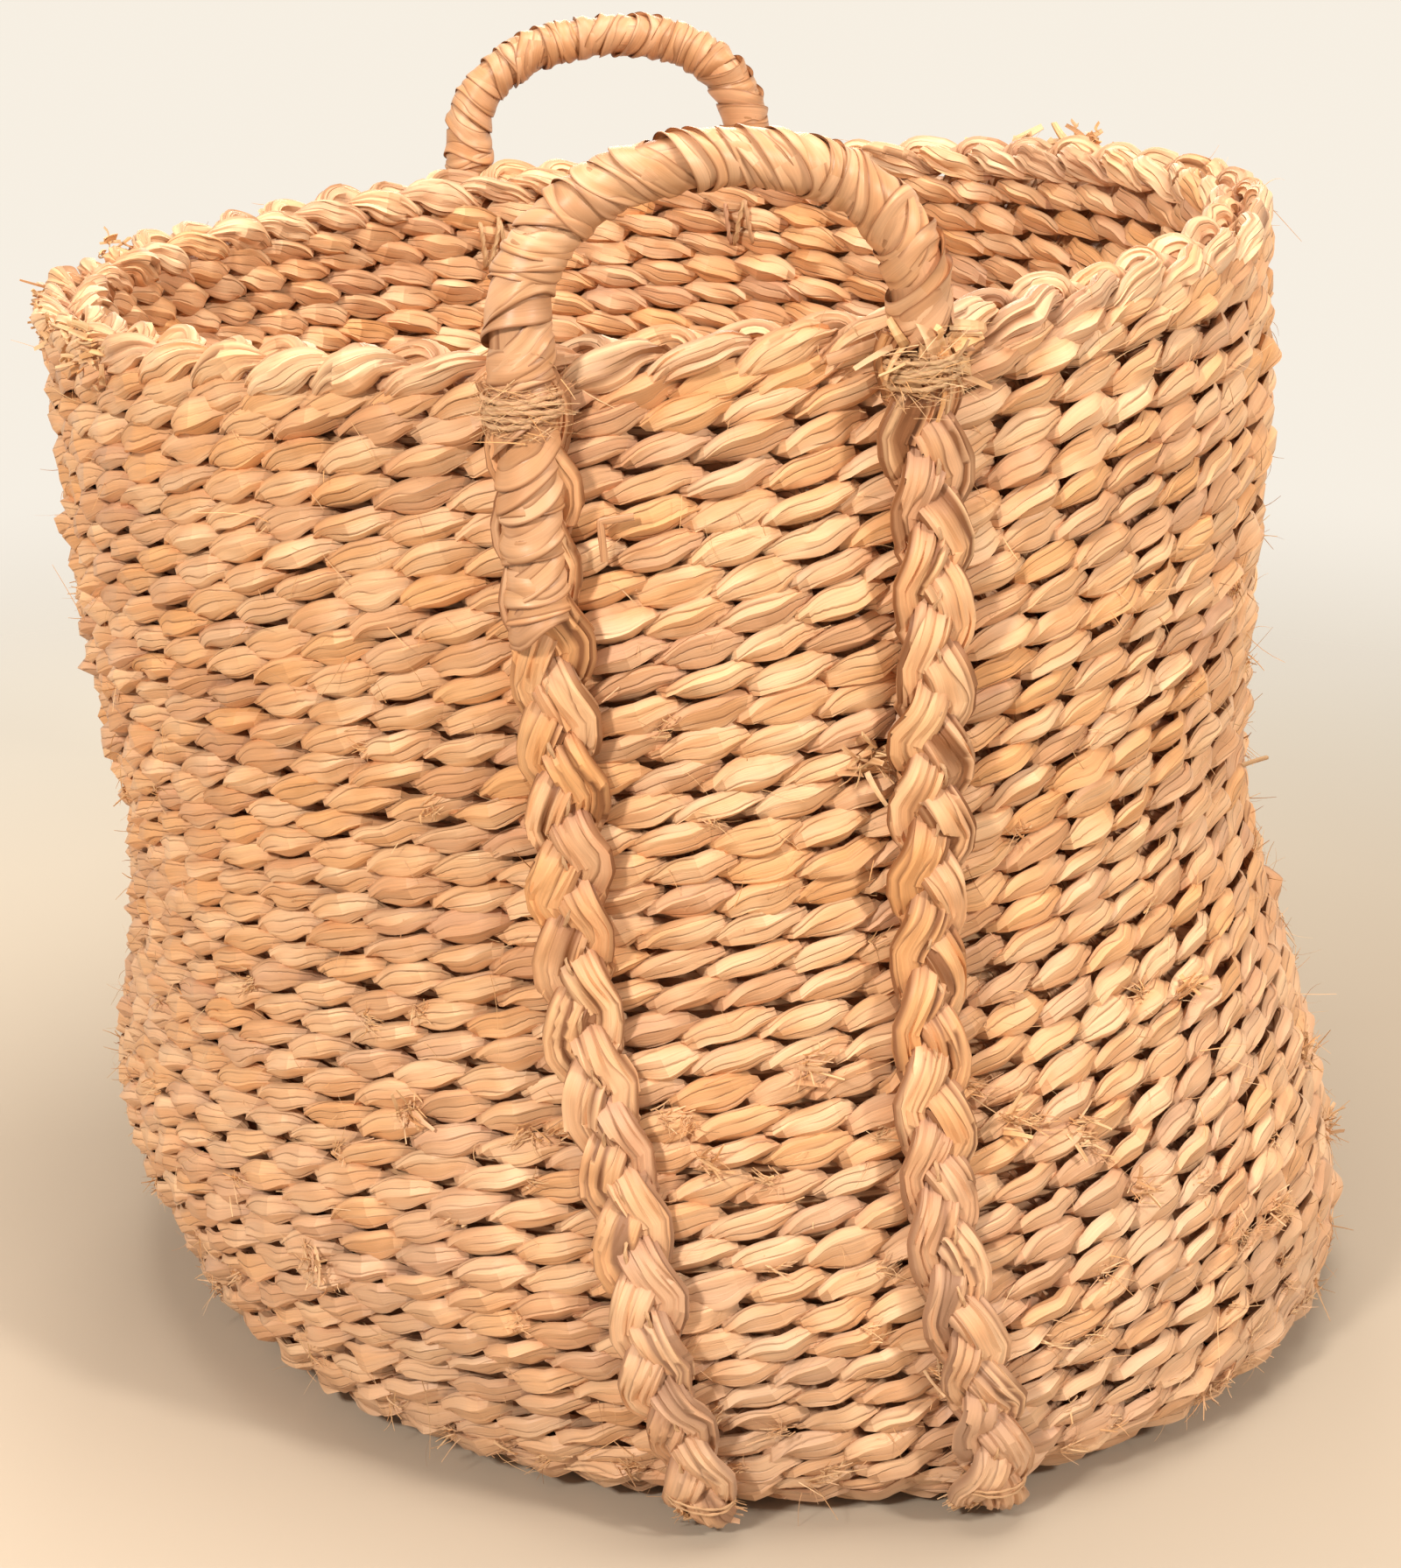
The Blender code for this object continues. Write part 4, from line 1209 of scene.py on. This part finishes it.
def wound_strip(rng, line, pitch):
    """A flat strip wound round a line, each turn lapping over the turn before it."""
    reach = [0.0]
    for a, b in zip(line, line[1:]):
        reach.append(reach[-1] + (b[0] - a[0]).length)
    turns = int(reach[-1] / pitch)
    shifts = [(rng.gauss(0.0, 0.25), rng.uniform(-1.0, 1.0), rng.uniform(-1.0, 1.0),
               rng.uniform(0.75, 1.25)) for _ in range(turns + 2)]
    strip = []
    k = 0
    for j in range(turns * WRAP_STEPS_PER_TURN + 1):
        turn, share = divmod(j / WRAP_STEPS_PER_TURN, 1.0)
        ease = share * share * (3.0 - 2.0 * share)
        shift, level, swing, width = (a + (b - a) * ease for a, b in
                                      zip(shifts[int(turn)], shifts[int(turn) + 1]))
        angle = share * FULL_TURN
        tilt = math.cos(angle) * (WRAP_SLANT + WRAP_DISORDER * level)
        tilt += math.sin(angle) * WRAP_DISORDER * swing
        spot = (turn + share + shift) * pitch + tilt * WRAP_RADIUS
        spot = min(max(spot, 0.0), reach[-1] - 1e-6)
        while k > 0 and reach[k] > spot:
            k -= 1
        while reach[k + 1] < spot:
            k += 1
        part = (spot - reach[k]) / (reach[k + 1] - reach[k])
        place, out, side, fullness = (a + (b - a) * part for a, b in zip(line[k], line[k + 1]))
        away = turned(side, out, angle).normalized()
        ahead = side.cross(out).normalized()
        strip.append((place + away * (WRAP_RADIUS * fullness), away + ahead * WRAP_LEAN,
                      ahead, fullness * width))
    return strip


class BASKET_OT_wraps(bpy.types.Operator):
    """Wind husk ribbon round both arches and down each handle's left leg"""
    bl_idname = "basket.wraps"
    bl_label = "Wrap the handles"

    def execute(self, context):
        for name, facets, rise in HANDLES:
            arch, across, rising = arch_line(facets, rise)
            line = handle_line(facets, arch, across, rising)
            seed = WRAP_SEEDS[name]
            strip = wound_strip(random.Random(seed), line, context.scene.basket_sizes.wrap_pitch)
            core = lay_twine(name + "_wrap_core", line[1:], seed, WRAP_CORE_RADIUS, "ribbon",
                             **WRAP_CORE)
            ribbon = lay_twine(name + "_handle_wrap", strip, seed, WRAP_HALF_WIDTH, "ribbon",
                               **WRAP_RIBBON)
            piece = join_pieces(name + "_handle_wrap", [ribbon, core])
            hinge = 0.5 * (arch[0][0] + arch[-1][0])
            prefix = name + "_handle_"
            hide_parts(prefix + "arch_wrap", prefix + "arch_core",
                        prefix + "left_leg_wrap")
            tuple(hinge - rising * BEND_REACH)
            tuple(hinge + rising * BEND_REACH)
            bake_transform(piece)
        return {"FINISHED"}


class BASKET_OT_legs(bpy.types.Operator):
    """Braid the four handle legs down the outside of the wall"""
    bl_idname = "basket.legs"
    bl_label = "Braid the handle legs"

    def execute(self, context):
        for k, (name, side, facet, prefix) in enumerate(each_leg()):
            path = []
            for walk in steps_between(LEG_END_WALK - LEG_OVERRUN, LEG_TOP_WALK, PATH_STEP):
                place, along, out, _ = leg_frame(walk, facet)
                path.append((place + out * (SEAT_GAP + 0.5 * LEG_DEPTH), along, out, 1.0))
            piece = run_tree(f"{name}_{side}_leg", path_mesh(path), SHARED["braid"], {
                **LEG_BRAID, "Material": SHARED["leg husk"],
                "Cycle": context.scene.basket_sizes.leg_cycle, "Seed": LEG_SEED + 7 * k})
            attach(piece, "basket")
            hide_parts(prefix + "leg_braid")
            if side == "left":
                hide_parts(prefix + "leg_core")
        return {"FINISHED"}


# Twine and loose husk
def turns_round_leg(facet, walk, height, turns, depth, seed):
    """Points of a twine wound a few times round a leg."""
    rng = random.Random(seed)
    place, along, out, climb = leg_frame(walk, facet)
    middle = place + out * (SEAT_GAP + 0.5 * depth)
    path = []
    count = int(LOOP_POINTS * turns)
    tilt = rng.uniform(-LOOP_TILT, LOOP_TILT)
    start = rng.uniform(0.0, FULL_TURN)
    for k in range(count + 1):
        share = k / count
        angle = start + share * turns * FULL_TURN
        level = (share - 0.5) * height + tilt * math.cos(angle)
        level += LOOP_WAVER * math.sin(2.3 * angle)
        away = turned(along, out, angle)
        place = (middle + along * (LOOP_HALF_WIDTH * math.cos(angle))
                 + out * ((0.5 * depth + LOOP_CLEARANCE) * math.sin(angle)) + climb * level)
        path.append((place, away, climb, 1.0))
    return path


def sewn_line(facet, low, high):
    """Twine down the middle of a leg's braid, in and out between its strands."""
    path = []
    for walk in steps_between(low, high, STITCH_SPACING):
        place, along, out, _ = leg_frame(walk, facet)
        wave = walk * FULL_TURN / STITCH_WAVE
        lift = SEAT_GAP + LEG_DEPTH - STITCH_SINK + STITCH_LIFT * math.sin(wave)
        sway = STITCH_SWAY * math.sin(wave * 0.53 + facet)
        sway += STITCH_DRIFT * math.sin(wave * 0.21)
        path.append((place + out * lift + along * sway, out, along, 1.0))
    return path


def inside_stitches(facet):
    """Three short stitches that show on the inside of the wall under the rim."""
    walk = LEG_TOP_WALK - LASHING_DROP - RIM_BRAID_THICKNESS
    place, along, out, climb = leg_frame(walk, facet)
    back = place - out * (WALL_THICKNESS - LEG_SINK + STITCH_SINK)
    paths = []
    for side, slope in INSIDE_STITCHES:
        path = []
        for share in even_steps(0.0, 1.0, INSIDE_STITCH_POINTS):
            height = (share - 0.5) * INSIDE_STITCH_HEIGHT
            sink = INSIDE_STITCH_SINK * (2.0 * abs(share - 0.5)) ** 4
            path.append((back + along * (side + slope * height) + climb * height + out * sink,
                         -out, along, 1.0))
        paths.append(path)
    return paths


def join_pieces(name, pieces):
    """One mesh object from several, so that each tie or wrap is one piece."""
    with bpy.context.temp_override(active_object=pieces[0], object=pieces[0],
                                   selected_editable_objects=pieces):
        bpy.ops.object.join()
    pieces[0].name = name
    pieces[0].data.name = name
    return pieces[0]


def lay_twine(name, path, seed, radius=0.0008, material="twine", **settings):
    values = {"Material": SHARED[material], "Seed": seed, "Half width": radius,
              "Half thickness": radius}
    values.update(settings)
    return run_tree(name, path_mesh(path), SHARED["strand"], values)


class BASKET_OT_ties(bpy.types.Operator):
    """Lash, sew and bind the handle legs to the wall with twine"""
    bl_idname = "basket.ties"
    bl_label = "Tie the legs"

    def execute(self, context):
        for number, (_, side, facet, prefix) in enumerate(each_leg()):
            seed = TIE_SEED + 10 * number
            lashing = lay_twine(prefix + "lashing_twine", turns_round_leg(
                facet, LEG_TOP_WALK - LASHING_DROP, LASHING_HEIGHT, LASHING_TURNS,
                LEG_TOP_DEPTH + TIE_ROOM, seed), seed, context.scene.basket_sizes.twine_radius)
            binding = lay_twine(prefix + "binding_twine", turns_round_leg(
                facet, LEG_END_WALK + BINDING_RISE, BINDING_HEIGHT, BINDING_TURNS,
                LEG_DEPTH + TIE_ROOM, seed + 1), seed + 1, BINDING_RADIUS)
            top = WRAP_END_WALK if side == "left" else LEG_TOP_WALK - LEG_TWINE_TOP_GAP
            sewing = lay_twine(
                prefix + "sewing_twine", sewn_line(facet, LEG_END_WALK + LEG_TWINE_START, top),
                seed + 2, LEG_TWINE_RADIUS)
            stitches = [lay_twine(f"{prefix}stitch_{k}", path, seed + 3 + k, INSIDE_STITCH_RADIUS)
                        for k, path in enumerate(inside_stitches(facet))]
            stitch = join_pieces(prefix + "inside_stitches", stitches)
            for piece, node in ((lashing, "rim_lashing"), (binding, "foot_binding"),
                                (sewing, "leg_twine"), (stitch, "inside_tie")):
                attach(piece, "basket")
                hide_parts(prefix + node)
        return {"FINISHED"}


def scatter(rng, spread):
    """A small random vector."""
    return Vector([rng.gauss(0.0, spread) for _ in range(3)])


def husk_ends(name, wisps, **settings):
    """Loose husk as one piece that rides the basket."""
    piece = run_tree(name, wisp_points(wisps), SHARED["wisps"], {
        "Material": SHARED["fray"], **settings})
    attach(piece, "basket")
    return piece


def wisp_points(wisps):
    """Points for the wisp tree: (root, heading, bend, length, girth) each."""
    roots, headings, bends, lengths, girths = zip(*wisps)
    return mesh_with(list(roots), [], {
        "heading": list(headings), "bend": list(bends), "length": list(lengths),
        "girth": list(girths), "number": [float(k) for k in range(len(wisps))]})




def frayed_end(rng, facet, count):
    """Loose husk ends of a leg, from its binding down to the floor under the heel."""
    place, along, out, climb = leg_frame(LEG_END_WALK, facet)
    heel = leg_frame(WALL_START, facet)[0]
    level_out = Vector((out.x, out.y, 0.0)).normalized()
    wisps = []
    for _ in range(count):
        u = rng.uniform(-1.0, 1.0)
        v = rng.uniform(0.0, 1.0)
        low = rng.uniform(0.0, 0.7)
        root = (place + along * (END_HALF_WIDTH * u) + out * (SEAT_GAP + 0.001 + 0.0080 * v)
                + climb * (0.003 - 0.006 * low))
        foot = (Vector((heel.x, heel.y, FOOT_LIFT))
                + along * (FOOT_HALF_WIDTH * u + rng.gauss(0.0, 0.0020))
                + level_out * (-FOOT_BACK + FOOT_DEPTH * v + rng.gauss(0.0, 0.0012)))
        span = foot - root
        strip = rng.random() < STRIP_SHARE
        reach = rng.uniform(0.30, 0.55 if strip else 0.75)
        girth = rng.uniform(*(STRIP_GIRTH if strip else FIBRE_GIRTH))
        spread = 0.12 if strip else 0.28
        heading = (span.normalized() + along * rng.gauss(0.05, spread)
                   + level_out * rng.gauss(0.0, 0.5 * spread)).normalized()
        bend = along * rng.gauss(0.05, 0.20) + level_out * rng.uniform(-0.20, 0.15)
        wisps.append((root, heading, bend, span.length * reach, girth))
    return wisps


class BASKET_OT_frays(bpy.types.Operator):
    """Fray the husk at the legs' ends, down to the floor"""
    bl_idname = "basket.frays"
    bl_label = "Fray the leg ends"

    def execute(self, context):
        for k, (_, _, facet, prefix) in enumerate(each_leg()):
            wisps = frayed_end(random.Random(LEG_END_SEED + k), facet, ENDS_PER_LEG)
            piece = husk_ends(prefix + "frayed_end", wisps, Segments=4, Taper=0.3, Flatness=0.3)
            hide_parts(prefix + "frayed_tuft")
        return {"FINISHED"}


def wall_hairs(rng, count):
    """Thin fibres that stand off the wall, most of them low down and on the right."""
    wisps = []
    anywhere, more_low, more_right = HAIR_CHANCES
    while len(wisps) < count:
        walk = rng.uniform(FLAT_REACH + HAIR_START, RIM_WALK)
        azimuth = rng.uniform(0.0, FULL_TURN)
        low = 1.0 - (walk - WALL_START) / (RIM_WALK - WALL_START)
        right = 0.5 + 0.5 * math.cos(azimuth + 0.5)
        if rng.random() > anywhere + more_low * low * low + more_right * right:
            continue
        place, along, out, climb = surface_frame(walk, azimuth)
        angle = rng.uniform(0.0, FULL_TURN)
        heading = (along * math.cos(angle) + climb * (0.7 * math.sin(angle))
                   + out * rng.uniform(0.05, 0.8)).normalized()
        bend = scatter(rng, 0.35)
        length = rng.uniform(*HAIR_LENGTH) * (LONG_HAIR if rng.random() < LONG_HAIR_SHARE else 1.0)
        wisps.append((place - out * HAIR_SINK, heading, bend, length, rng.uniform(*HAIR_GIRTH)))
    return wisps


def frayed_knots(rng, count):
    """Little brushes of torn husk where a strand was spliced."""
    wisps = []
    for _ in range(count):
        walk = WALL_START - KNOT_DROP + KNOT_REACH * rng.random() ** KNOT_CROWDING
        azimuth = rng.uniform(0.0, FULL_TURN)
        place, along, out, climb = surface_frame(walk, azimuth)
        angle = rng.uniform(-0.5, 0.9)
        lay = turned(along, climb, angle)
        if rng.random() < 0.3:
            lay = -lay
        for _ in range(rng.randint(*KNOT_FIBRES)):
            root = (place - out * KNOT_SINK + along * rng.gauss(0.0, KNOT_SPREAD)
                    + climb * rng.gauss(0.0, KNOT_SPREAD))
            heading = (lay + out * rng.uniform(0.25, 0.9) + scatter(rng, 0.35)).normalized()
            bend = scatter(rng, 0.4) - out * 0.35
            wisps.append((root, heading, bend, rng.uniform(*KNOT_LENGTH),
                          rng.uniform(*KNOT_GIRTH)))
    return wisps


def strip_along(spots, lift):
    """Path of a flat husk strip through points given as (walk, degrees, extra lift)."""
    path = []
    for k in range(len(spots) - 1):
        for j in range(STRIP_STEPS + (k == len(spots) - 2)):
            share = j / STRIP_STEPS
            walk, degrees, extra = (a + (b - a) * share for a, b in zip(spots[k], spots[k + 1]))
            place, _, out, climb = surface_frame(walk, math.radians(degrees))
            path.append((place + out * (lift + extra), out, climb, 1.0))
    return path


def splice_bunch(rng, walk, degrees, count, length, wide, lean_to, rise):
    """Wide torn husk ends that stick out of the wall at one spot."""
    place, along, out, climb = surface_frame(walk, math.radians(degrees))
    wisps = []
    for _ in range(count):
        root = place - out * 0.002 + along * rng.gauss(0.0, 0.002) + climb * rng.gauss(0.0, 0.003)
        heading = (along * (lean_to + rng.gauss(0.0, 0.35)) + climb * rng.gauss(0.0, 0.45)
                   + out * rng.uniform(0.2, rise)).normalized()
        bend = scatter(rng, 0.2)
        wisps.append((root, heading, bend, length * rng.uniform(0.6, 1.1),
                      wide * rng.uniform(0.4, 1.1)))
    return wisps


def foot_strips(rng, facet, count):
    """Wide husk ends splayed where an arch meets its unwrapped leg."""
    wisps = []
    for _ in range(count):
        walk = LEG_TOP_WALK - rng.uniform(-0.001, 0.012)
        place, along, out, climb = leg_frame(walk, facet)
        angle = rng.uniform(0.2, math.pi - 0.2)
        away = turned(along, out, angle)
        root = place + out * (SEAT_GAP + 0.5 * LEG_TOP_DEPTH) + away * SPLAYED_REACH
        heading = (away * rng.uniform(0.2, 0.6) + along * rng.gauss(0.1, 0.35)
                   - climb * rng.choice((1.0, 1.0, 1.0, -0.3))).normalized()
        bend = scatter(rng, 0.15) - away * 0.5
        wisps.append((root, heading, bend, rng.uniform(*SPLAYED_LENGTH),
                      rng.uniform(*SPLAYED_GIRTH)))
    for _ in range(count // 2):
        walk = LEG_TOP_WALK + rng.uniform(-0.014, 0.004)
        place, along, out, climb = leg_frame(walk, facet)
        way = rng.choice((1.0, 1.0, -1.0))
        root = place + along * (way * SIDEWAYS_REACH) + out * rng.uniform(0.008, 0.018)
        heading = (along * way + out * rng.uniform(-0.3, 0.4)
                   - climb * rng.uniform(-0.3, 0.5)).normalized()
        bend = scatter(rng, 0.15) - out * 0.3
        wisps.append((root, heading, bend, rng.uniform(*SIDEWAYS_LENGTH),
                      rng.uniform(*SIDEWAYS_GIRTH)))
    return wisps


class BASKET_OT_strips(bpy.types.Operator):
    """Add the loose strips, torn splices and fuzz that the real one shows"""
    bl_idname = "basket.strips"
    bl_label = "Add strips and splices"

    def execute(self, context):
        for name, spots, lift, half in LONG_STRIPS:
            stalk = name == "wall_stalk"
            piece = lay_twine(name, strip_along(spots, lift), LONG_STRIP_SEED, half,
                              "twine" if stalk else "ribbon", **{
                                  "Half thickness": half if stalk else STRIP_HALF_THICKNESS,
                                  "Ply depth": 0.0, "Waver": 0.0003, "Sides": 8})
            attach(piece, "basket")
        rng = random.Random(TEAR_SEED)
        wisps = []
        for splice in LARGE_SPLICE:
            wisps += splice_bunch(rng, *splice)
        for walk, degrees in TORN_SPOTS:
            for bunch in TORN_BUNCHES:
                wisps += splice_bunch(rng, walk, degrees, *bunch)
        for count, first, last, drop, length, wide, lean_to, rise in RIM_TEARS:
            for _ in range(count):
                degrees = rng.uniform(first, last)
                walk = RIM_WALK - rng.uniform(-0.002, drop)
                wisps += splice_bunch(rng, walk, degrees, 4, length, wide,
                                      rng.choice((-lean_to, lean_to)), rise)
        for _, facets, _ in HANDLES:
            wisps += foot_strips(rng, facets["right"], SPLAYED_PER_LEG)
        husk_ends("torn_strips", wisps, Segments=4, Taper=0.35, Flatness=0.3)
        return {"FINISHED"}


def lashing_fuzz(rng, facet, count):
    """Fuzz and torn strips round a leg's lashing."""
    wisps = []
    for _ in range(count):
        walk = LEG_TOP_WALK - LASHING_DROP + rng.gauss(0.0, FUZZ_SPREAD)
        place, along, out, climb = leg_frame(walk, facet)
        angle = rng.uniform(-0.25, math.pi + 0.25)
        away = turned(along, out, angle)
        turn = along * -math.sin(angle) + out * math.cos(angle)
        root = (place + out * (SEAT_GAP + 0.5 * LEG_TOP_DEPTH)
                + along * (FUZZ_HALF_WIDTH * math.cos(angle))
                + out * (FUZZ_HALF_DEPTH * math.sin(angle)))
        way = rng.choice((-1.0, 1.0))
        heading = (turn * way + away * rng.uniform(0.1, 0.5)
                   + climb * rng.gauss(0.0, 0.35)).normalized()
        bend = scatter(rng, 0.25) - away * 0.3
        wisps.append((root, heading, bend, rng.uniform(*FUZZ_LENGTH),
                      rng.uniform(*FUZZ_GIRTH)))
    return wisps


class BASKET_OT_loose(bpy.types.Operator):
    """Let loose fibres and torn splices stand off the wall"""
    bl_idname = "basket.loose"
    bl_label = "Raise the loose fibres"

    def execute(self, context):
        sizes = context.scene.basket_sizes
        hairs = wall_hairs(random.Random(HAIR_SEED), sizes.hair_count)
        knots = frayed_knots(random.Random(KNOT_SEED), sizes.splice_count)
        fuzz = []
        for _, _, facet, _ in each_leg():
            fuzz += lashing_fuzz(random.Random(FUZZ_SEED + facet), facet, FUZZ_PER_LEG)
        for name, wisps, segments in (("loose_hairs", hairs, 4), ("torn_splices", knots, 3),
                                      ("lashing_fuzz", fuzz, 4)):
            husk_ends(name, wisps, Segments=segments, Taper=0.6, Flatness=0.45)
        return {"FINISHED"}


# Stage
def studio_world(backdrop):
    """Soft even light that the camera and reflections see as the pale backdrop."""
    world = bpy.data.worlds.new("studio")
    world.use_nodes = True
    tree = world.node_tree
    rays = add_node(tree, "ShaderNodeLightPath").outputs
    seen = Term(tree, rays["Is Camera Ray"]).math("MAXIMUM", rays["Is Glossy Ray"])
    seen = seen.math("MAXIMUM", rays["Is Transmission Ray"])
    light = tuple(part * AMBIENT_LEVEL for part in AMBIENT_COLOUR) + (1.0,)
    background = tree.nodes["Background"]
    plug(tree, mix_colour(tree, seen, light, backdrop), background.inputs["Color"])
    background.inputs["Strength"].default_value = 1.0
    return world


def floor_paper(near, far):
    """Pale paper that takes the basket's shadow and fades out into the backdrop, with painted
    light that makes it lighter towards the back and the left.
    """
    material, tree, shader = new_material("floor paper")
    spot = Term(tree, add_node(tree, "ShaderNodeTexCoord").outputs["Object"])
    x, y = spot.part(0), spot.part(1)
    away = (x * x + y * y).power(0.5)
    ground = mix_colour(tree, y.between(*FLOOR_BLEND), near, far)
    ground = ground * away.between(*FLOOR_DIM)
    ground = ground * x.between(*FLOOR_LIT_SIDE)
    plug(tree, ground, shader.inputs["Base Color"])
    plug(tree, away.between(*FLOOR_FADE, "SMOOTHSTEP"), shader.inputs["Alpha"])
    shader.inputs["Roughness"].default_value = PAPER_ROUGHNESS
    shader.inputs["Specular IOR Level"].default_value = PAPER_SHINE
    return material


class BASKET_OT_stage(bpy.types.Operator):
    """Set the floor, the backdrop, the lights and the camera"""
    bl_idname = "basket.stage"
    bl_label = "Set the stage"

    def execute(self, context):
        scene = context.scene
        colours = scene.basket_colours
        scene.view_settings.view_transform = "Standard"
        scene.world = studio_world(tuple(colours.backdrop))
        angles = [FULL_TURN * k / FLOOR_SIDES for k in range(FLOOR_SIDES)]
        verts = [(FLOOR_RADIUS * math.cos(angle), FLOOR_RADIUS * math.sin(angle), 0.0)
                 for angle in angles]
        mesh = bpy.data.meshes.new("floor")
        mesh.from_pydata(verts, [], [tuple(range(FLOOR_SIDES))])
        mesh.materials.append(floor_paper(tuple(colours.floor), tuple(colours.far_floor)))
        floor = bpy.data.objects.new("floor", mesh)
        context.collection.objects.link(floor)

        for name, place, power, width in LAMPS:
            lamp = bpy.data.lights.new(name, "AREA")
            lamp.energy = power
            lamp.size = width
            lamp.color = LAMP_COLOUR
            holder = bpy.data.objects.new(name, lamp)
            holder.location = place
            aim = LAMP_TARGET - Vector(place)
            holder.rotation_euler = aim.to_track_quat("-Z", "Y").to_euler()
            context.collection.objects.link(holder)

        camera_data = bpy.data.cameras.new("camera")
        camera_data.sensor_fit = "HORIZONTAL"
        camera_data.sensor_width = CAMERA_SENSOR
        camera_data.lens = CAMERA_LENS
        camera_data.clip_end = CAMERA_REACH
        camera = bpy.data.objects.new("camera", camera_data)
        facing = (CAMERA_TARGET - CAMERA_PLACE).to_track_quat("-Z", "Y").to_matrix().to_4x4()
        roll = Matrix.Rotation(CAMERA_ROLL, 4, "Z")
        camera.matrix_world = Matrix.Translation(CAMERA_PLACE) @ facing @ roll
        context.collection.objects.link(camera)
        scene.camera = camera
        return {"FINISHED"}


# The add-on's settings, panel and registration
def length_setting(name, description, default):
    return bpy.props.FloatProperty(name=name, description=description, default=default,
                                   min=0.0, precision=4, unit="LENGTH")


def colour_setting(name, description, default):
    return bpy.props.FloatVectorProperty(name=name, description=description, default=default,
                                         size=4, min=0.0, max=1.0, subtype="COLOR")


class BasketSizes(bpy.types.PropertyGroup):
    braid_cycle: length_setting(
        "Braid cycle", "Length in which a strand crosses the coiled braid and comes back", 0.076)
    rim_cycle: length_setting(
        "Rim cycle", "Length in which a strand crosses the rim's braid and comes back", 0.083)
    leg_cycle: length_setting(
        "Leg cycle", "Length in which a strand crosses a leg's braid and comes back", 0.080)
    wrap_pitch: length_setting(
        "Wrap pitch", "Distance between two turns of the ribbon round a handle", 0.0068)
    twine_radius: length_setting("Twine radius", "Radius of the twine that lashes a leg", 0.00085)
    sewing_radius: length_setting(
        "Sewing radius", "Radius of the twine hidden between the courses", 0.0017)
    hair_count: bpy.props.IntProperty(
        name="Loose hairs", description="How many thin fibres stand off the wall",
        default=1500, min=1)
    splice_count: bpy.props.IntProperty(
        name="Torn splices", description="How many torn splices show low on the wall",
        default=260, min=1)


class BasketColours(bpy.types.PropertyGroup):
    pale: colour_setting("Pale husk", "The palest leaves of the coil", (0.88, 0.56, 0.32, 1.0))
    tan: colour_setting("Tan husk", "The common colour of the coil", (0.74, 0.39, 0.18, 1.0))
    rim_pale: colour_setting("Pale rim", "The palest leaves of the rim", (0.93, 0.63, 0.38, 1.0))
    rim_tan: colour_setting("Tan rim", "The common colour of the rim", (0.86, 0.51, 0.275, 1.0))
    leg_pale: colour_setting("Pale leg", "The palest leaves of the legs", (0.90, 0.56, 0.31, 1.0))
    leg_tan: colour_setting("Tan leg", "The common colour of the legs", (0.75, 0.39, 0.18, 1.0))
    ribbon_pale: colour_setting(
        "Pale ribbon", "The palest turns of the handles' ribbon", (0.72, 0.42, 0.235, 1.0))
    ribbon_tan: colour_setting(
        "Tan ribbon", "The common colour of the handles' ribbon", (0.58, 0.30, 0.14, 1.0))
    twine: colour_setting("Twine", "The twine of the ties", (0.68, 0.45, 0.23, 1.0))
    fray: colour_setting("Frayed husk", "The loose fibres and torn ends", (0.80, 0.54, 0.29, 1.0))
    # Also the colour of the painted shade along the strands' sides and in their pleats' grooves
    seam: colour_setting("Seam", "The dark lines between the leaves", (0.25, 0.095, 0.033, 1.0))
    dust: colour_setting("Dust", "The greyer husk near the floor", (0.55, 0.37, 0.255, 1.0))
    floor: colour_setting("Floor", "The floor near the basket", (0.46, 0.39, 0.31, 1.0))
    # Lighter than the near floor: painted light where the lamps reach the floor less
    far_floor: colour_setting("Far floor", "The floor further off", (0.60, 0.54, 0.45, 1.0))
    backdrop: colour_setting("Backdrop", "What shows beyond the floor", (0.93, 0.865, 0.765, 1.0))


class BASKET_PT_panel(bpy.types.Panel):
    bl_idname = "BASKET_PT_panel"
    bl_label = "Husk basket"
    bl_space_type = "VIEW_3D"
    bl_region_type = "UI"
    bl_category = "Basket"

    def draw(self, context):
        for step in STEPS:
            self.layout.operator(step.bl_idname)


STEPS = (BASKET_OT_stage, BASKET_OT_coil, BASKET_OT_rim, BASKET_OT_legs, BASKET_OT_wraps,
         BASKET_OT_ties, BASKET_OT_frays, BASKET_OT_strips, BASKET_OT_loose)
CLASSES = (BasketSizes, BasketColours) + STEPS + (BASKET_PT_panel,)


def register():
    for each in CLASSES:
        bpy.utils.register_class(each)
    bpy.types.Scene.basket_sizes = bpy.props.PointerProperty(type=BasketSizes)
    bpy.types.Scene.basket_colours = bpy.props.PointerProperty(type=BasketColours)


def unregister():
    del bpy.types.Scene.basket_colours
    del bpy.types.Scene.basket_sizes
    for each in reversed(CLASSES):
        bpy.utils.unregister_class(each)


def main():
    register()
    SHARED["braid"] = braid_tree()
    SHARED["strand"] = strand_tree()
    SHARED["wisps"] = wisp_tree()
    SHARED["leaf group"] = husk_group()
    SHARED["dust group"] = dust_group()
    mix_finishes(bpy.context.scene.basket_colours)
    bpy.ops.basket.stage()
    bpy.ops.basket.coil()
    bpy.ops.basket.rim()
    bpy.ops.basket.legs()
    bpy.ops.basket.wraps()
    bpy.ops.basket.ties()
    bpy.ops.basket.frays()
    bpy.ops.basket.strips()
    bpy.ops.basket.loose()


if __name__ == "__main__":
    main()
